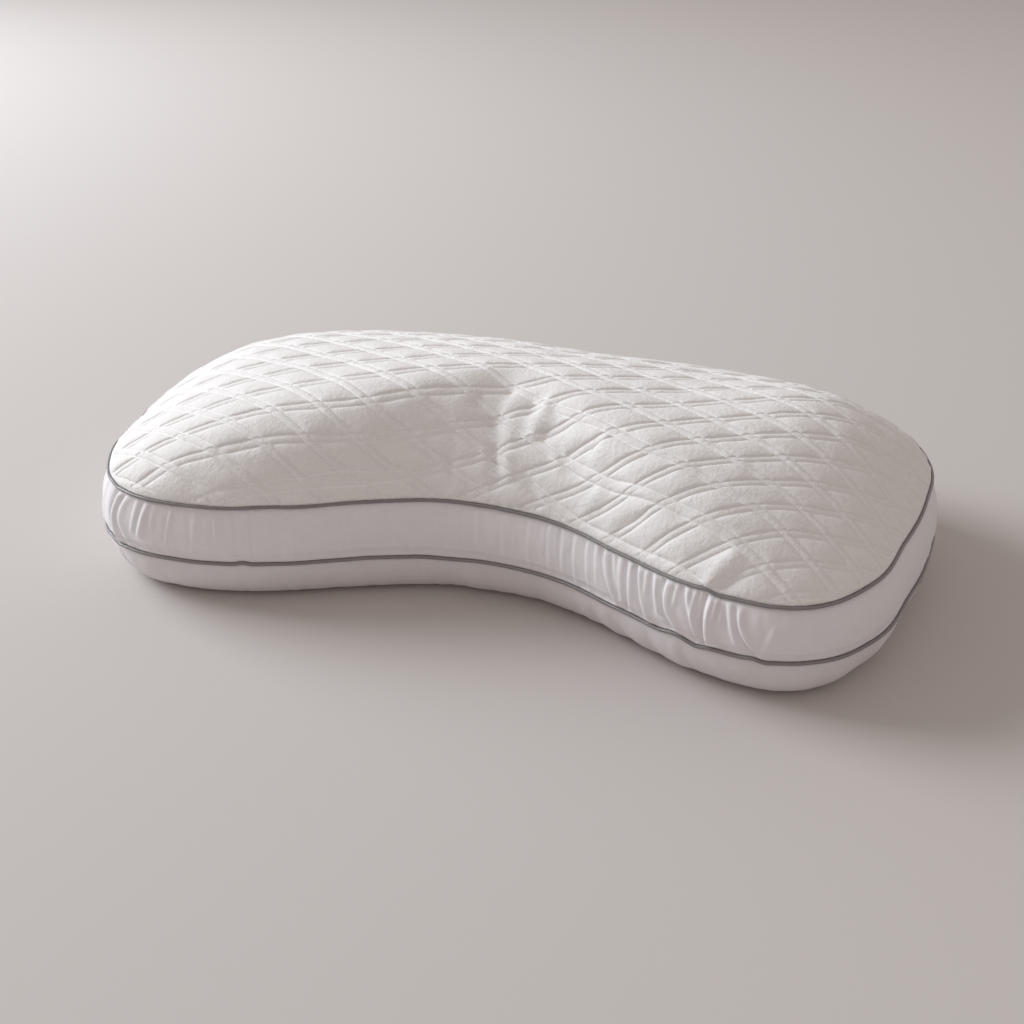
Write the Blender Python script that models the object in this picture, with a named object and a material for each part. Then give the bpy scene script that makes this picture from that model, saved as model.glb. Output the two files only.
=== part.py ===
"""Side-sleeper pillow with a curved waist, in metres with +Z up.

A filled cushion with a quilted, crowned top, a plain gusset round its sides, a plain bottom panel
that it rests on, and a satin piping in each of the two seams. +X runs along the pillow and the
waist curves in from -Y.
"""

import math
from collections import namedtuple

import bmesh
import bpy
import numpy as np
from mathutils import Vector, geometry

# Upper seam seen from above: (x, y) knots of a smooth closed curve, counterclockwise from the
# right end, closer together where it bends
SEAM_POINTS = (
    (0.337, 0.000),
    (0.333, 0.071),
    (0.301, 0.134),
    (0.242, 0.176),
    (0.160, 0.191),
    (0.069, 0.191),
    (-0.070, 0.191),
    (-0.159, 0.189),
    (-0.238, 0.173),
    (-0.303, 0.135),
    (-0.342, 0.073),
    (-0.352, 0.000),
    (-0.346, -0.073),
    (-0.329, -0.146),
    (-0.288, -0.192),
    (-0.222, -0.200),
    (-0.149, -0.178),
    (-0.084, -0.145),
    (-0.036, -0.127),
    (0.020, -0.121),
    (0.073, -0.128),
    (0.130, -0.154),
    (0.203, -0.183),
    (0.270, -0.182),
    (0.311, -0.138),
    (0.328, -0.070),
)
STATIONS = 128
CURVE_STEPS = 24

# Seams
UPPER_SEAM_HEIGHT = 0.0888
LOWER_SEAM_HEIGHT = 0.040
LOWER_SEAM_SPREAD = 0.0078
PIPING_RADIUS = 0.0018
SEAM_EDGE_INSET = 0.0010
SEAM_EDGE_GAP = 0.0022

# How far the upper seam rises above its mean height, in ten even steps of direction from +X
SEAM_WAVE = (0.0020, 0.0006, -0.0015, 0.0032, 0.0023, 0.0045, -0.0015, -0.0007, -0.0022, -0.0067)

# Crown of the quilted top above the upper seam
CROWN_RISE = 0.0765
CROWN_POWER = 2.1
CROWN_ROUND = 1.19
CROWN_LEAN = 0.30
CROWN_LEAN_DEPTH = 0.20
Lobe = namedtuple("Lobe", "x y swell reach")
LOBES = (
    Lobe(x=-0.313, y=0.008, swell=0.36, reach=0.11),
    Lobe(x=0.313, y=0.008, swell=0.95, reach=0.11),
)
VALLEY_DIRECTION = 266.0
VALLEY_SPREAD = 9.0
VALLEY_DEPTH = 0.005
VALLEY_START = 0.15

# Quilting: two families of channels that cross, each sewn as a pair of lines 6.6 mm apart. The
# steps open towards the back, where the cloth was eased as it was sewn in
LATTICE_START = (-0.1411, -0.1126)
RISING_STEP = (0.0362, 0.0161)
FALLING_STEP = (0.0365, -0.0162)
RISING_EASE = (0.0, 0.00018)
CROSSED_EASE = (-0.00044, 0.0)
FALLING_EASE = (-0.00045, 0.00034)
CHANNEL_HALF_SHARE = 0.090
CHANNEL_DEPTH = 0.0016
PUFF_RISE = 0.0008
LATTICE_LINES = 14
LATTICE_REACH = 0.47
RIM_CLEARANCE = 0.006
FLAT_STEPS = 60
SLOPE_STEP = 0.002
WHOLE_HULL = 0
JOIN_DISTANCE = 1e-7

# Gusset
GUSSET_THICKNESS = 0.0020
GUSSET_BULGE = 0.0040
GUSSET_FULLNESS = 0.8
GUSSET_ROWS = 5
INNER_GUSSET_SHARES = (0.0, 0.5, 1.0)
Gathers = namedtuple("Gathers", "start_x end_x folds depth")
GUSSET_GATHERS = (
    Gathers(start_x=-0.325, end_x=-0.232, folds=5, depth=0.0026),
    Gathers(start_x=0.100, end_x=0.228, folds=13, depth=0.0024),
)
GATHER_STEPS = 4
GATHER_MARGIN = 0.012
GATHER_SWAY = 0.8
GATHER_SWAY_RATE = 0.49
GATHER_FADE = 0.5

# Bottom panel
BOTTOM_THICKNESS = 0.0024
BOTTOM_TUCK = 0.031
BOTTOM_ROWS = 5
PUCKER_DEPTH = 0.0012
PUCKER_COUNT = 37
PUCKER_SWELLS = 5
INNER_SHARES = (0.25, 0.5, 0.75, 1.0)

# Filled cushion behind the gusset and the bottom panel
FILL_GAP = 0.0006
SEAM_DRAW_IN = 0.0045

# Making
TORUS_RADII = (0.3, 0.02)
WAY_STEP = 0.01
SMOOTH_ANGLE = 50.0
COTTON_ROUGHNESS = 0.85
SATIN_ROUGHNESS = 0.45
WHITE_TOP = (0.86, 0.845, 0.83, 1.0)
WHITE_SIDE = (0.84, 0.83, 0.84, 1.0)
GREY_SATIN = (0.27, 0.255, 0.26, 1.0)


def clear_scene():
    """Remove every object of the open scene."""
    for thing in list(bpy.data.objects):
        bpy.data.objects.remove(thing, do_unlink=True)


def make_material(name, colour, roughness):
    """Return a Principled material with one colour and roughness."""
    material = bpy.data.materials.new(name)
    material.use_nodes = True
    shader = material.node_tree.nodes["Principled BSDF"]
    shader.inputs["Base Color"].default_value = colour
    shader.inputs["Roughness"].default_value = roughness
    shader.inputs["Metallic"].default_value = 0.0
    material.diffuse_color = colour
    return material


def seam_curve():
    """Return the upper seam as a fine closed run of points, from a smooth Bezier curve."""
    curve = bpy.data.curves.new("seam_guide", "CURVE")
    curve.dimensions = "2D"
    curve.resolution_u = CURVE_STEPS
    spline = curve.splines.new("BEZIER")
    spline.bezier_points.add(len(SEAM_POINTS) - 1)
    for knot, (x, y) in zip(spline.bezier_points, SEAM_POINTS):
        knot.co = (x, y, 0.0)
        knot.handle_left_type = "AUTO"
        knot.handle_right_type = "AUTO"
    spline.use_cyclic_u = True
    guide = bpy.data.objects.new("seam_guide", curve)
    bpy.context.scene.collection.objects.link(guide)
    bpy.context.view_layer.update()
    mesh = bpy.data.meshes.new_from_object(guide.evaluated_get(bpy.context.evaluated_depsgraph_get()))
    points = np.array([vertex.co[:2] for vertex in mesh.vertices])
    bpy.data.objects.remove(guide, do_unlink=True)
    bpy.data.meshes.remove(mesh)
    return points


class Outline:
    """The upper seam seen from above, and loops at a distance outside it."""

    def __init__(self, points):
        lengths = np.linalg.norm(np.diff(np.vstack([points, points[:1]]), axis=0), axis=1)
        along = np.concatenate([[0.0], np.cumsum(lengths)])
        closed = np.vstack([points, points[:1]])
        even = np.linspace(0.0, along[-1], STATIONS + 1)[:-1]
        self.points = np.stack([np.interp(even, along, closed[:, axis]) for axis in (0, 1)], axis=1)
        tangents = np.roll(self.points, -1, axis=0) - np.roll(self.points, 1, axis=0)
        tangents /= np.linalg.norm(tangents, axis=1)[:, None]
        self.normals = np.stack([tangents[:, 1], -tangents[:, 0]], axis=1)
        self.angles = np.arctan2(self.points[:, 1], self.points[:, 0]) % math.tau

    def at(self, places, out):
        """Return points a distance outside the seam, at places counted in stations."""
        places = np.asarray(places, float) % STATIONS
        first = places.astype(int) % STATIONS
        share = (places - np.floor(places))[:, None]
        loop = self.points + self.normals * np.broadcast_to(out, (STATIONS,))[:, None]
        return loop[first] * (1.0 - share) + loop[(first + 1) % STATIONS] * share

    def reach(self, angle):
        """Return the distance from the middle to the seam in each direction, in radians."""
        order = np.argsort(self.angles)
        angles = self.angles[order]
        reaches = np.linalg.norm(self.points, axis=1)[order]
        angles = np.concatenate([[angles[-1] - math.tau], angles, [angles[0] + math.tau]])
        reaches = np.concatenate([[reaches[-1]], reaches, [reaches[0]]])
        return np.interp(np.asarray(angle) % math.tau, angles, reaches)

    def upper_height(self, places):
        """Return the height of the upper seam at places counted in stations."""
        first = np.asarray(places, float) % STATIONS
        whole = first.astype(int) % STATIONS
        share = first - np.floor(first)
        heights = UPPER_SEAM_HEIGHT + seam_rise(self.angles)
        return heights[whole] * (1.0 - share) + heights[(whole + 1) % STATIONS] * share


def seam_rise(angle):
    """Return how far the upper seam rises above its mean height in each direction."""
    rises = np.array(SEAM_WAVE)
    count = len(rises)
    place = (np.asarray(angle) % math.tau) / math.tau * count
    first = np.floor(place).astype(int)
    share = place - first
    before, start, end, after = (rises[(first + step) % count] for step in (-1, 0, 1, 2))
    bend = 2.0 * before - 5.0 * start + 4.0 * end - after
    turn = 3.0 * (start - end) + after - before
    return start + 0.5 * share * (end - before + share * (bend + share * turn))


def crown_point(outline, share, angle):
    """Return points on the crown, at a share of the way from the middle to the seam."""
    reach = outline.reach(angle) - SEAM_EDGE_INSET
    x = share * reach * np.cos(angle)
    y = share * reach * np.sin(angle)
    rise = CROWN_RISE * np.maximum(1.0 - share**CROWN_POWER, 0.0) ** (1.0 / CROWN_ROUND)
    swell = 1.0
    for lobe in LOBES:
        away = (x - lobe.x) ** 2 + (y - lobe.y) ** 2
        swell = swell + lobe.swell * np.exp(-away / lobe.reach**2)
    rise = rise * swell * (1.0 - CROWN_LEAN * y / CROWN_LEAN_DEPTH)
    turn = (np.degrees(angle) - VALLEY_DIRECTION + 180.0) % 360.0 - 180.0
    along = np.sin(math.pi * np.clip((share - VALLEY_START) / (1.0 - VALLEY_START), 0.0, 1.0))
    rise = rise - VALLEY_DEPTH * along * np.exp(-((turn / VALLEY_SPREAD) ** 2))
    base = UPPER_SEAM_HEIGHT + SEAM_EDGE_GAP + seam_rise(angle) * share
    return np.stack([x, y, base + rise], axis=-1)


def flat_to_share(outline, distance, angle):
    """Return the share of the way to the seam at a length of cloth, and the cloth's full length."""
    shares = np.linspace(0.0, 1.0, FLAT_STEPS)
    points = crown_point(outline, shares[None, :], np.asarray(angle)[:, None])
    runs = np.linalg.norm(np.diff(points, axis=1), axis=2)
    lengths = np.concatenate([np.zeros((len(runs), 1)), np.cumsum(runs, axis=1)], axis=1)
    found = [np.interp(d, length, shares) for d, length in zip(distance, lengths)]
    return np.array(found), lengths[:, -1]


def quilting_rows():
    """Return places across one family of lines, in steps, and whether each is sewn down."""
    rows = []
    for line in range(-LATTICE_LINES, LATTICE_LINES + 1):
        rows.append((line - CHANNEL_HALF_SHARE, True))
        rows.append((line + CHANNEL_HALF_SHARE, True))
        rows.append((line + 0.5, False))
    return rows


def lattice_place(u, v):
    """Return the flat place that lies u steps along the rising lines and v along the falling ones."""
    steps = np.array([RISING_STEP, FALLING_STEP, RISING_EASE, CROSSED_EASE, FALLING_EASE])
    return np.array(LATTICE_START) + np.array([u, v, u * u, u * v, v * v]) @ steps


def top_layout(outline):
    """Return the flat points of the quilting, with share, direction, relief and the edges between."""
    rows = quilting_rows()
    points = []
    relief = []
    index = {}
    for i, (u, sewn_u) in enumerate(rows):
        for j, (v, sewn_v) in enumerate(rows):
            flat = lattice_place(u, v)
            if math.hypot(*flat) > LATTICE_REACH:
                continue
            index[i, j] = len(points)
            points.append(flat)
            relief.append(-CHANNEL_DEPTH if sewn_u or sewn_v else PUFF_RISE)
    points = np.array(points)
    relief = np.array(relief)
    angle = np.arctan2(points[:, 1], points[:, 0])
    distance = np.linalg.norm(points, axis=1)
    share, full = flat_to_share(outline, distance, angle)
    inside = distance < full - RIM_CLEARANCE
    kept = {}
    for old in np.flatnonzero(inside):
        kept[old] = len(kept)
    edges = []
    for (i, j), old in index.items():
        for beside in ((i + 1, j), (i, j + 1)):
            other = index.get(beside)
            if old in kept and other in kept:
                edges.append((kept[old], kept[other]))
    return points[inside], share[inside], angle[inside], relief[inside], edges


def inside_rim(corners, rim, count):
    """Tell whether a flat triangle lies inside the rim: one that joins three rim points may not."""
    if min(corners) < count:
        return True
    a, b, c = (rim[corner - count] for corner in corners)
    x, y = (a + b + c) / 3.0
    ends = np.roll(rim, -1, axis=0)
    spans = (rim[:, 1] > y) != (ends[:, 1] > y)
    starts, stops = rim[spans], ends[spans]
    crossings = starts[:, 0] + (y - starts[:, 1]) / (stops[:, 1] - starts[:, 1]) * (stops - starts)[:, 0]
    return bool(np.count_nonzero(crossings > x) % 2)


def top_faces(outline):
    """Return the quilted top's places, the place that each corner uses, triangles and first rim place."""
    flat, share, angle, relief, edges = top_layout(outline)
    rim_angles = outline.angles
    _, rim_lengths = flat_to_share(outline, np.zeros(STATIONS), rim_angles)
    rim = np.stack([rim_lengths * np.cos(rim_angles), rim_lengths * np.sin(rim_angles)], axis=1)
    count = len(flat)
    everything = [Vector(p) for p in np.vstack([flat, rim])]
    border = [(count + k, count + (k + 1) % STATIONS) for k in range(STATIONS)]
    result = geometry.delaunay_2d_cdt(everything, edges + border, [], WHOLE_HULL, JOIN_DISTANCE, True)
    sources = [source[0] for source in result[3]]
    triangles = [t for t in result[2] if inside_rim([sources[corner] for corner in t], rim, count)]
    point = crown_point(outline, share, angle)
    along = crown_point(outline, np.maximum(share - SLOPE_STEP, 0.0), angle) - point
    across = crown_point(outline, share, angle + SLOPE_STEP) - point
    normal = np.cross(across, along)
    normal /= np.linalg.norm(normal, axis=1)[:, None] + 1e-12
    normal[normal[:, 2] < 0.0] *= -1.0
    lifted = point + normal * relief[:, None]
    ring = crown_point(outline, np.ones(STATIONS), rim_angles)
    places = np.vstack([lifted, ring])
    return places, sources, triangles, count


def gather_relief(places, outline):
    """Return how far the gusset's middle stands out in its gathers, at places in stations."""
    x, y = outline.at(places, 0.0).T
    relief = np.zeros(len(x))
    for gathers in GUSSET_GATHERS:
        share = np.clip((x - gathers.start_x) / (gathers.end_x - gathers.start_x), 0.0, 1.0)
        turn = math.tau * gathers.folds * share
        wave = 0.5 + 0.5 * np.sin(turn + GATHER_SWAY * np.sin(GATHER_SWAY_RATE * turn))
        relief += np.where(y < 0.0, gathers.depth * wave * np.sin(math.pi * share) ** GATHER_FADE, 0.0)
    return relief


def gusset_places(outline):
    """Return places in stations along the gusset, closer together where it is gathered."""
    places = []
    for station in range(STATIONS):
        x, y = outline.points[station]
        gathered = any(g.start_x - GATHER_MARGIN < x < g.end_x + GATHER_MARGIN for g in GUSSET_GATHERS)
        steps = GATHER_STEPS if gathered and y < 0.0 else 1
        places.extend(station + step / steps for step in range(steps))
    return np.array(places)


def ring_mesh(name, sections):
    """Return a closed ring mesh, a torus primitive with each point set to its section's place.

    sections has the shape (places round the ring, points round the section, 3).
    """
    around, section, _ = sections.shape
    bpy.ops.mesh.primitive_torus_add(
        major_segments=around,
        minor_segments=section,
        major_radius=TORUS_RADII[0],
        minor_radius=TORUS_RADII[1],
    )
    ring = bpy.context.active_object
    ring.name = name
    ring.data.vertices.foreach_set("co", sections.reshape(-1).astype(np.float32))
    ring.data.update()
    face_outwards(ring.data)
    return ring


def face_outwards(mesh):
    """Recalculate the normals of a closed mesh to point out."""
    work = bmesh.new()
    work.from_mesh(mesh)
    bmesh.ops.recalc_face_normals(work, faces=work.faces)
    if work.calc_volume(signed=True) < 0.0:
        bmesh.ops.reverse_faces(work, faces=work.faces)
    work.to_mesh(mesh)
    work.free()


def gusset_profile(share):
    """Return how far the gusset's outer face stands outside the upper seam, from top to bottom."""
    bulge = GUSSET_BULGE * math.sin(math.pi * share) ** GUSSET_FULLNESS
    return LOWER_SEAM_SPREAD * share - SEAM_EDGE_INSET + bulge


def build_gusset(outline):
    """Build the strip between the two seams."""
    places = gusset_places(outline)
    gathers = gather_relief(places, outline)
    top = outline.upper_height(places) - SEAM_EDGE_GAP
    bottom = LOWER_SEAM_HEIGHT + SEAM_EDGE_GAP
    rows = []
    for row in range(GUSSET_ROWS):
        share = row / (GUSSET_ROWS - 1)
        out = gusset_profile(share)
        weight = math.sin(math.pi * share) ** GATHER_FADE
        rows.append(strip_row(outline, places, out, gathers * weight, top + (bottom - top) * share))
    for share in reversed(INNER_GUSSET_SHARES):
        out = gusset_profile(share) - GUSSET_THICKNESS
        weight = math.sin(math.pi * share) ** GATHER_FADE
        rows.append(strip_row(outline, places, out, gathers * weight, top + (bottom - top) * share))
    return ring_mesh("gusset", np.stack(rows, axis=1))


def strip_row(outline, places, out, relief, height):
    """Return one row of a strip: points outside the seam, moved out by a relief, at a height."""
    middle = outline.at(places, out)
    away = outline.at(places, out + WAY_STEP) - middle
    away /= np.linalg.norm(away, axis=1)[:, None]
    flat = middle + away * np.broadcast_to(relief, (len(places),))[:, None]
    return np.column_stack([flat, np.broadcast_to(height, (len(places),))])


def build_piping(name, outline, out, heights):
    """Build one piping as a closed cord along a seam."""
    curve = bpy.data.curves.new(name, "CURVE")
    curve.dimensions = "3D"
    curve.bevel_depth = PIPING_RADIUS
    curve.bevel_resolution = 1
    spline = curve.splines.new("POLY")
    spline.points.add(STATIONS - 1)
    path = outline.at(np.arange(STATIONS), out)
    for knot, (x, y), z in zip(spline.points, path, heights):
        knot.co = (x, y, z, 1.0)
    spline.use_cyclic_u = True
    cord = bpy.data.objects.new(name, curve)
    bpy.context.scene.collection.objects.link(cord)
    bpy.context.view_layer.update()
    mesh = bpy.data.meshes.new_from_object(cord.evaluated_get(bpy.context.evaluated_depsgraph_get()))
    bpy.data.objects.remove(cord, do_unlink=True)
    piping = bpy.data.objects.new(name, mesh)
    bpy.context.scene.collection.objects.link(piping)
    face_outwards(mesh)
    return piping


def tuck_profile(share):
    """Return place and height of the bottom panel's side, from the lower seam to the base."""
    turn = 0.5 * math.pi * share
    out = LOWER_SEAM_SPREAD - SEAM_EDGE_INSET - BOTTOM_TUCK * (1.0 - math.cos(turn))
    height = (LOWER_SEAM_HEIGHT - SEAM_EDGE_GAP) * (1.0 - math.sin(turn))
    return out, height


def extrude_ring(work, edges, layer, ring):
    """Extrude a closed loop of edges onto a ring of places, one for each station."""
    made = bmesh.ops.extrude_edge_only(work, edges=edges)["geom"]
    for vertex in (item for item in made if isinstance(item, bmesh.types.BMVert)):
        vertex.co = ring[vertex[layer]]
    return [item for item in made if isinstance(item, bmesh.types.BMEdge) and item.is_boundary]


def build_bottom(outline):
    """Build the under panel: a dish with a flat base, puckered sides and an even thickness."""
    places = np.arange(STATIONS)
    work = bmesh.new()
    layer = work.verts.layers.int.new("station")
    out, height = tuck_profile(1.0)
    base = strip_row(outline, places, out, 0.0, height)
    corners = []
    for station in places:
        corner = work.verts.new(base[station])
        corner[layer] = station
        corners.append(corner)
    work.faces.new(corners)
    edges = list(work.edges)
    puckers = PUCKER_DEPTH * np.sin(math.tau * PUCKER_COUNT * places / STATIONS)
    puckers = puckers * np.sin(PUCKER_SWELLS * outline.angles)
    for row in range(1, BOTTOM_ROWS + 1):
        share = 1.0 - row / BOTTOM_ROWS
        out, height = tuck_profile(share)
        weight = math.sin(math.pi * share)
        edges = extrude_ring(work, edges, layer, strip_row(outline, places, out, puckers * weight, height))
    for share in (0.0, *INNER_SHARES):
        out, height = inner_tuck(share)
        edges = extrude_ring(work, edges, layer, strip_row(outline, places, out, 0.0, height))
    bmesh.ops.contextual_create(work, geom=edges)
    mesh = bpy.data.meshes.new("bottom_panel")
    work.to_mesh(mesh)
    work.free()
    face_outwards(mesh)
    panel = bpy.data.objects.new("bottom_panel", mesh)
    bpy.context.scene.collection.objects.link(panel)
    return panel


def inner_tuck(share, extra=0.0):
    """Return place and height of the bottom panel's inner face, or of a face further in."""
    inset = BOTTOM_THICKNESS + extra
    out, height = tuck_profile(share)
    turn = 0.5 * math.pi * share
    return out - inset * math.cos(turn), height + inset * math.sin(turn)


def build_cushion(outline):
    """Build the filled cushion: quilted crown, sides drawn in at both seams, and flat base."""
    places, sources, triangles, count = top_faces(outline)
    stations = np.arange(STATIONS)
    work = bmesh.new()
    layer = work.verts.layers.int.new("station")
    made = []
    for source in sources:
        vertex = work.verts.new(places[source])
        vertex[layer] = max(source - count, 0)
        made.append(vertex)
    for triangle in triangles:
        work.faces.new([made[corner] for corner in triangle])
    edges = [edge for edge in work.edges if edge.is_boundary]
    top = outline.upper_height(stations)
    bottom = LOWER_SEAM_HEIGHT
    inset = GUSSET_THICKNESS + FILL_GAP
    rows = [(-SEAM_DRAW_IN, 0.0)]
    for share in INNER_GUSSET_SHARES[1:-1]:
        rows.append((gusset_profile(share) - inset, share))
    rows.append((LOWER_SEAM_SPREAD - SEAM_DRAW_IN, 1.0))
    for out, share in rows:
        ring = strip_row(outline, stations, out, 0.0, top + (bottom - top) * share)
        edges = extrude_ring(work, edges, layer, ring)
    for share in INNER_SHARES:
        out, height = inner_tuck(share, FILL_GAP)
        edges = extrude_ring(work, edges, layer, strip_row(outline, stations, out, 0.0, height))
    bmesh.ops.contextual_create(work, geom=edges)
    mesh = bpy.data.meshes.new("quilted_cushion")
    work.to_mesh(mesh)
    work.free()
    face_outwards(mesh)
    cushion = bpy.data.objects.new("quilted_cushion", mesh)
    bpy.context.scene.collection.objects.link(cushion)
    return cushion


def finish_piece(piece, material, collection):
    """Give a piece its material, smooth shading and its place in the pillow's collection."""
    piece.data.materials.clear()
    piece.data.materials.append(material)
    piece.data.shade_smooth()
    piece.data.set_sharp_from_angle(angle=math.radians(SMOOTH_ANGLE))
    for owner in list(piece.users_collection):
        owner.objects.unlink(piece)
    collection.objects.link(piece)


def stand_on_origin(pieces):
    """Move all pieces together so that the middle of the base is at the origin."""
    corners = np.array([vertex.co for piece in pieces for vertex in piece.data.vertices])
    low = corners.min(axis=0)
    high = corners.max(axis=0)
    shift = Vector((-(low[0] + high[0]) / 2.0, -(low[1] + high[1]) / 2.0, -low[2]))
    for piece in pieces:
        for vertex in piece.data.vertices:
            vertex.co += shift


def main():
    """Build the pillow."""
    clear_scene()
    collection = bpy.data.collections.new("side_sleeper_pillow")
    bpy.context.scene.collection.children.link(collection)
    outline = Outline(seam_curve())
    stations = np.arange(STATIONS)
    top_cloth = make_material("white_quilted_cotton", WHITE_TOP, COTTON_ROUGHNESS)
    gusset_cloth = make_material("white_gusset_cotton", WHITE_SIDE, COTTON_ROUGHNESS)
    bottom_cloth = make_material("white_bottom_cotton", WHITE_SIDE, COTTON_ROUGHNESS)
    upper_satin = make_material("grey_upper_satin", GREY_SATIN, SATIN_ROUGHNESS)
    lower_satin = make_material("grey_lower_satin", GREY_SATIN, SATIN_ROUGHNESS)
    upper_path = outline.upper_height(stations)
    lower_path = np.full(STATIONS, LOWER_SEAM_HEIGHT)
    pieces = (
        (build_cushion(outline), top_cloth),
        (build_gusset(outline), gusset_cloth),
        (build_bottom(outline), bottom_cloth),
        (build_piping("upper_piping", outline, 0.0, upper_path), upper_satin),
        (build_piping("lower_piping", outline, LOWER_SEAM_SPREAD, lower_path), lower_satin),
    )
    for piece, material in pieces:
        finish_piece(piece, material, collection)
    stand_on_origin([piece for piece, _ in pieces])


if __name__ == "__main__":
    main()
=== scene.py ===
"""The looks of a side-sleeper pillow: quilted top, gusset, under panel and satin piping.

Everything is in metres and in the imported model's frame, +X along the pillow, the waist curving in
from -Y and +Z up. The sizes repeat those that the solids were built from. Shapes are worked out
about the middle of the seam's knots, and each finished mesh is moved onto the middle of the box.
"""

import logging
import math
from dataclasses import dataclass, field, replace
from enum import Enum

import bmesh
import bpy
import numpy as np
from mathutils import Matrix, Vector, geometry

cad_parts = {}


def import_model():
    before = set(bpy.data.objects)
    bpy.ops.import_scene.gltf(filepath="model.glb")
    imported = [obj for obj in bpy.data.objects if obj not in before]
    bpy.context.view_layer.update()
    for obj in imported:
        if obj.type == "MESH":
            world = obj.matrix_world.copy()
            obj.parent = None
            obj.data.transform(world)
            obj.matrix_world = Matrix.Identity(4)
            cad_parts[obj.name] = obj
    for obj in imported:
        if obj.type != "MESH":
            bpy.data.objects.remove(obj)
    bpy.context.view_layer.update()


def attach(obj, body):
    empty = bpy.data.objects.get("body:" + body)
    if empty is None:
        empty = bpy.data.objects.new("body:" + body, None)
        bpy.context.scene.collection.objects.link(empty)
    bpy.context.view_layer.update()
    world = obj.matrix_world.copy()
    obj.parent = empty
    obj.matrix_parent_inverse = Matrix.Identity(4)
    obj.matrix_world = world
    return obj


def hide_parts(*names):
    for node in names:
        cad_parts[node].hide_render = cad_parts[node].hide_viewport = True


LOG = logging.getLogger("side_sleeper_pillow")

# Upper seam seen from above: (x, y) knots of a smooth closed curve, counterclockwise from the
# right end, closer together where it bends
SEAM_KNOTS = (
    (0.337, 0.000), (0.333, 0.071), (0.301, 0.134), (0.242, 0.176),
    (0.160, 0.191), (0.069, 0.191), (-0.070, 0.191), (-0.159, 0.189),
    (-0.238, 0.173), (-0.303, 0.135), (-0.342, 0.073), (-0.352, 0.000),
    (-0.346, -0.073), (-0.329, -0.146), (-0.288, -0.192), (-0.222, -0.200),
    (-0.149, -0.178), (-0.084, -0.145), (-0.036, -0.127), (0.020, -0.121),
    (0.073, -0.128), (0.130, -0.154), (0.203, -0.183), (0.270, -0.182),
    (0.311, -0.138), (0.328, -0.070),
)
CURVE_STEPS = 64

# Points along the seam for the top and under panels, and for the gusset and the pipings
TOP_STATIONS = 1024
SIDE_STATIONS = 1536

# How far the cloths' edges lie inside a seam, and above or below it
EDGE_INSET = 0.0012
EDGE_GAP = 0.0013

# A fold's hollow lies this many lengths of its near side before its crest
HOLLOW_AHEAD = 1.9

# Share of the gusset's height over which a fold fades at each end
FOLD_FADE = 0.16

# From the middle of the knots' own frame to the middle of the pillow's box
MIDDLE_SHIFT = (0.0070, 0.0046)

# Radius of the circle on which the small puckers along the seam are worked out
PUCKER_CIRCLE = 0.30

# How far the upper seam rises above its mean height, in ten even steps of direction from +X
SEAM_WAVE = (0.0020, 0.0006, -0.0015, 0.0032, 0.0023, 0.0045, -0.0015, -0.0007, -0.0022, -0.0067)


class Side(Enum):
    """The two seams that carry a piping."""

    UPPER = "upper"
    LOWER = "lower"


class Weave(Enum):
    """How closely a cloth is woven, in threads per metre."""

    COARSE = 900.0
    FINE = 1800.0


@dataclass(frozen=True)
class Lobe:
    """A broad swelling of the crown.

    Args:
        x: Place along the pillow.
        y: Place across the pillow.
        swell: Share by which the crown rises there.
        reach: Radius over which it fades.
    """

    x: float
    y: float
    swell: float
    reach: float


@dataclass(frozen=True)
class Kink:
    """A small rise or dip where a seam was pulled as it was sewn.

    Args:
        place: Metres along the upper seam from the right end, counterclockwise.
        rise: How far the seam rises there.
        width: Half of its width.
    """

    place: float
    rise: float
    width: float


@dataclass(frozen=True)
class Fold:
    """A fold across the gusset, with a hollow before it, a steep near side and a long far side.

    Args:
        upper: Metres along the upper seam where its upper end lies.
        lower: Metres along that seam where its lower end lies.
        width: Length of its far side.
        rise: How far it stands out, or in where it is below nought.
        top: Share of the gusset's height, from the top, where it starts.
        bottom: Share where it ends.
        bow: How far its middle is bowed along the seam.
        steep: Length of its near side, as a share of the far side's.
        hollow: Depth of the hollow before it, as a share of its rise.
    """

    upper: float
    lower: float
    width: float
    rise: float
    top: float = -0.1
    bottom: float = 1.1
    bow: float = 0.0
    steep: float = 0.45
    hollow: float = 0.5

    def height(self, places: np.ndarray, share: float) -> np.ndarray:
        """Return how far the fold stands out along one row of the gusset.

        Args:
            places: Metres along the upper seam.
            share: Share of the gusset's height, from the top.

        Returns:
            One height for each place.
        """
        middle = self.upper + (self.lower - self.upper) * share + self.bow * math.sin(math.pi * share)
        away = (places - middle) / self.width
        crest = bell(np.where(away < 0.0, away / self.steep, away))
        before = bell(away / self.steep + HOLLOW_AHEAD)
        fade = smooth_step((share - self.top) / FOLD_FADE) * smooth_step((self.bottom - share) / FOLD_FADE)
        return self.rise * fade * (crest - self.hollow * before)


@dataclass(frozen=True)
class Crease:
    """A soft wrinkle of the quilted top, between two places on the cloth laid flat.

    Args:
        start: One end, measured on the flat cloth.
        end: The other end.
        width: Half of its width.
        rise: How far it stands out, or in where it is below nought.
    """

    start: tuple[float, float]
    end: tuple[float, float]
    width: float
    rise: float

    def height(self, places: np.ndarray) -> np.ndarray:
        """Return how far the crease stands out at flat places, one in each row."""
        start = np.array(self.start)
        way = np.array(self.end) - start
        length = float(np.linalg.norm(way))
        way /= length
        along = (places - start) @ way / length
        aside = (places - start) @ np.array([-way[1], way[0]])
        taper = np.sqrt(np.sin(math.pi * np.clip(along, 0.0, 1.0)))
        return self.rise * taper * bell(aside / self.width)


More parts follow.
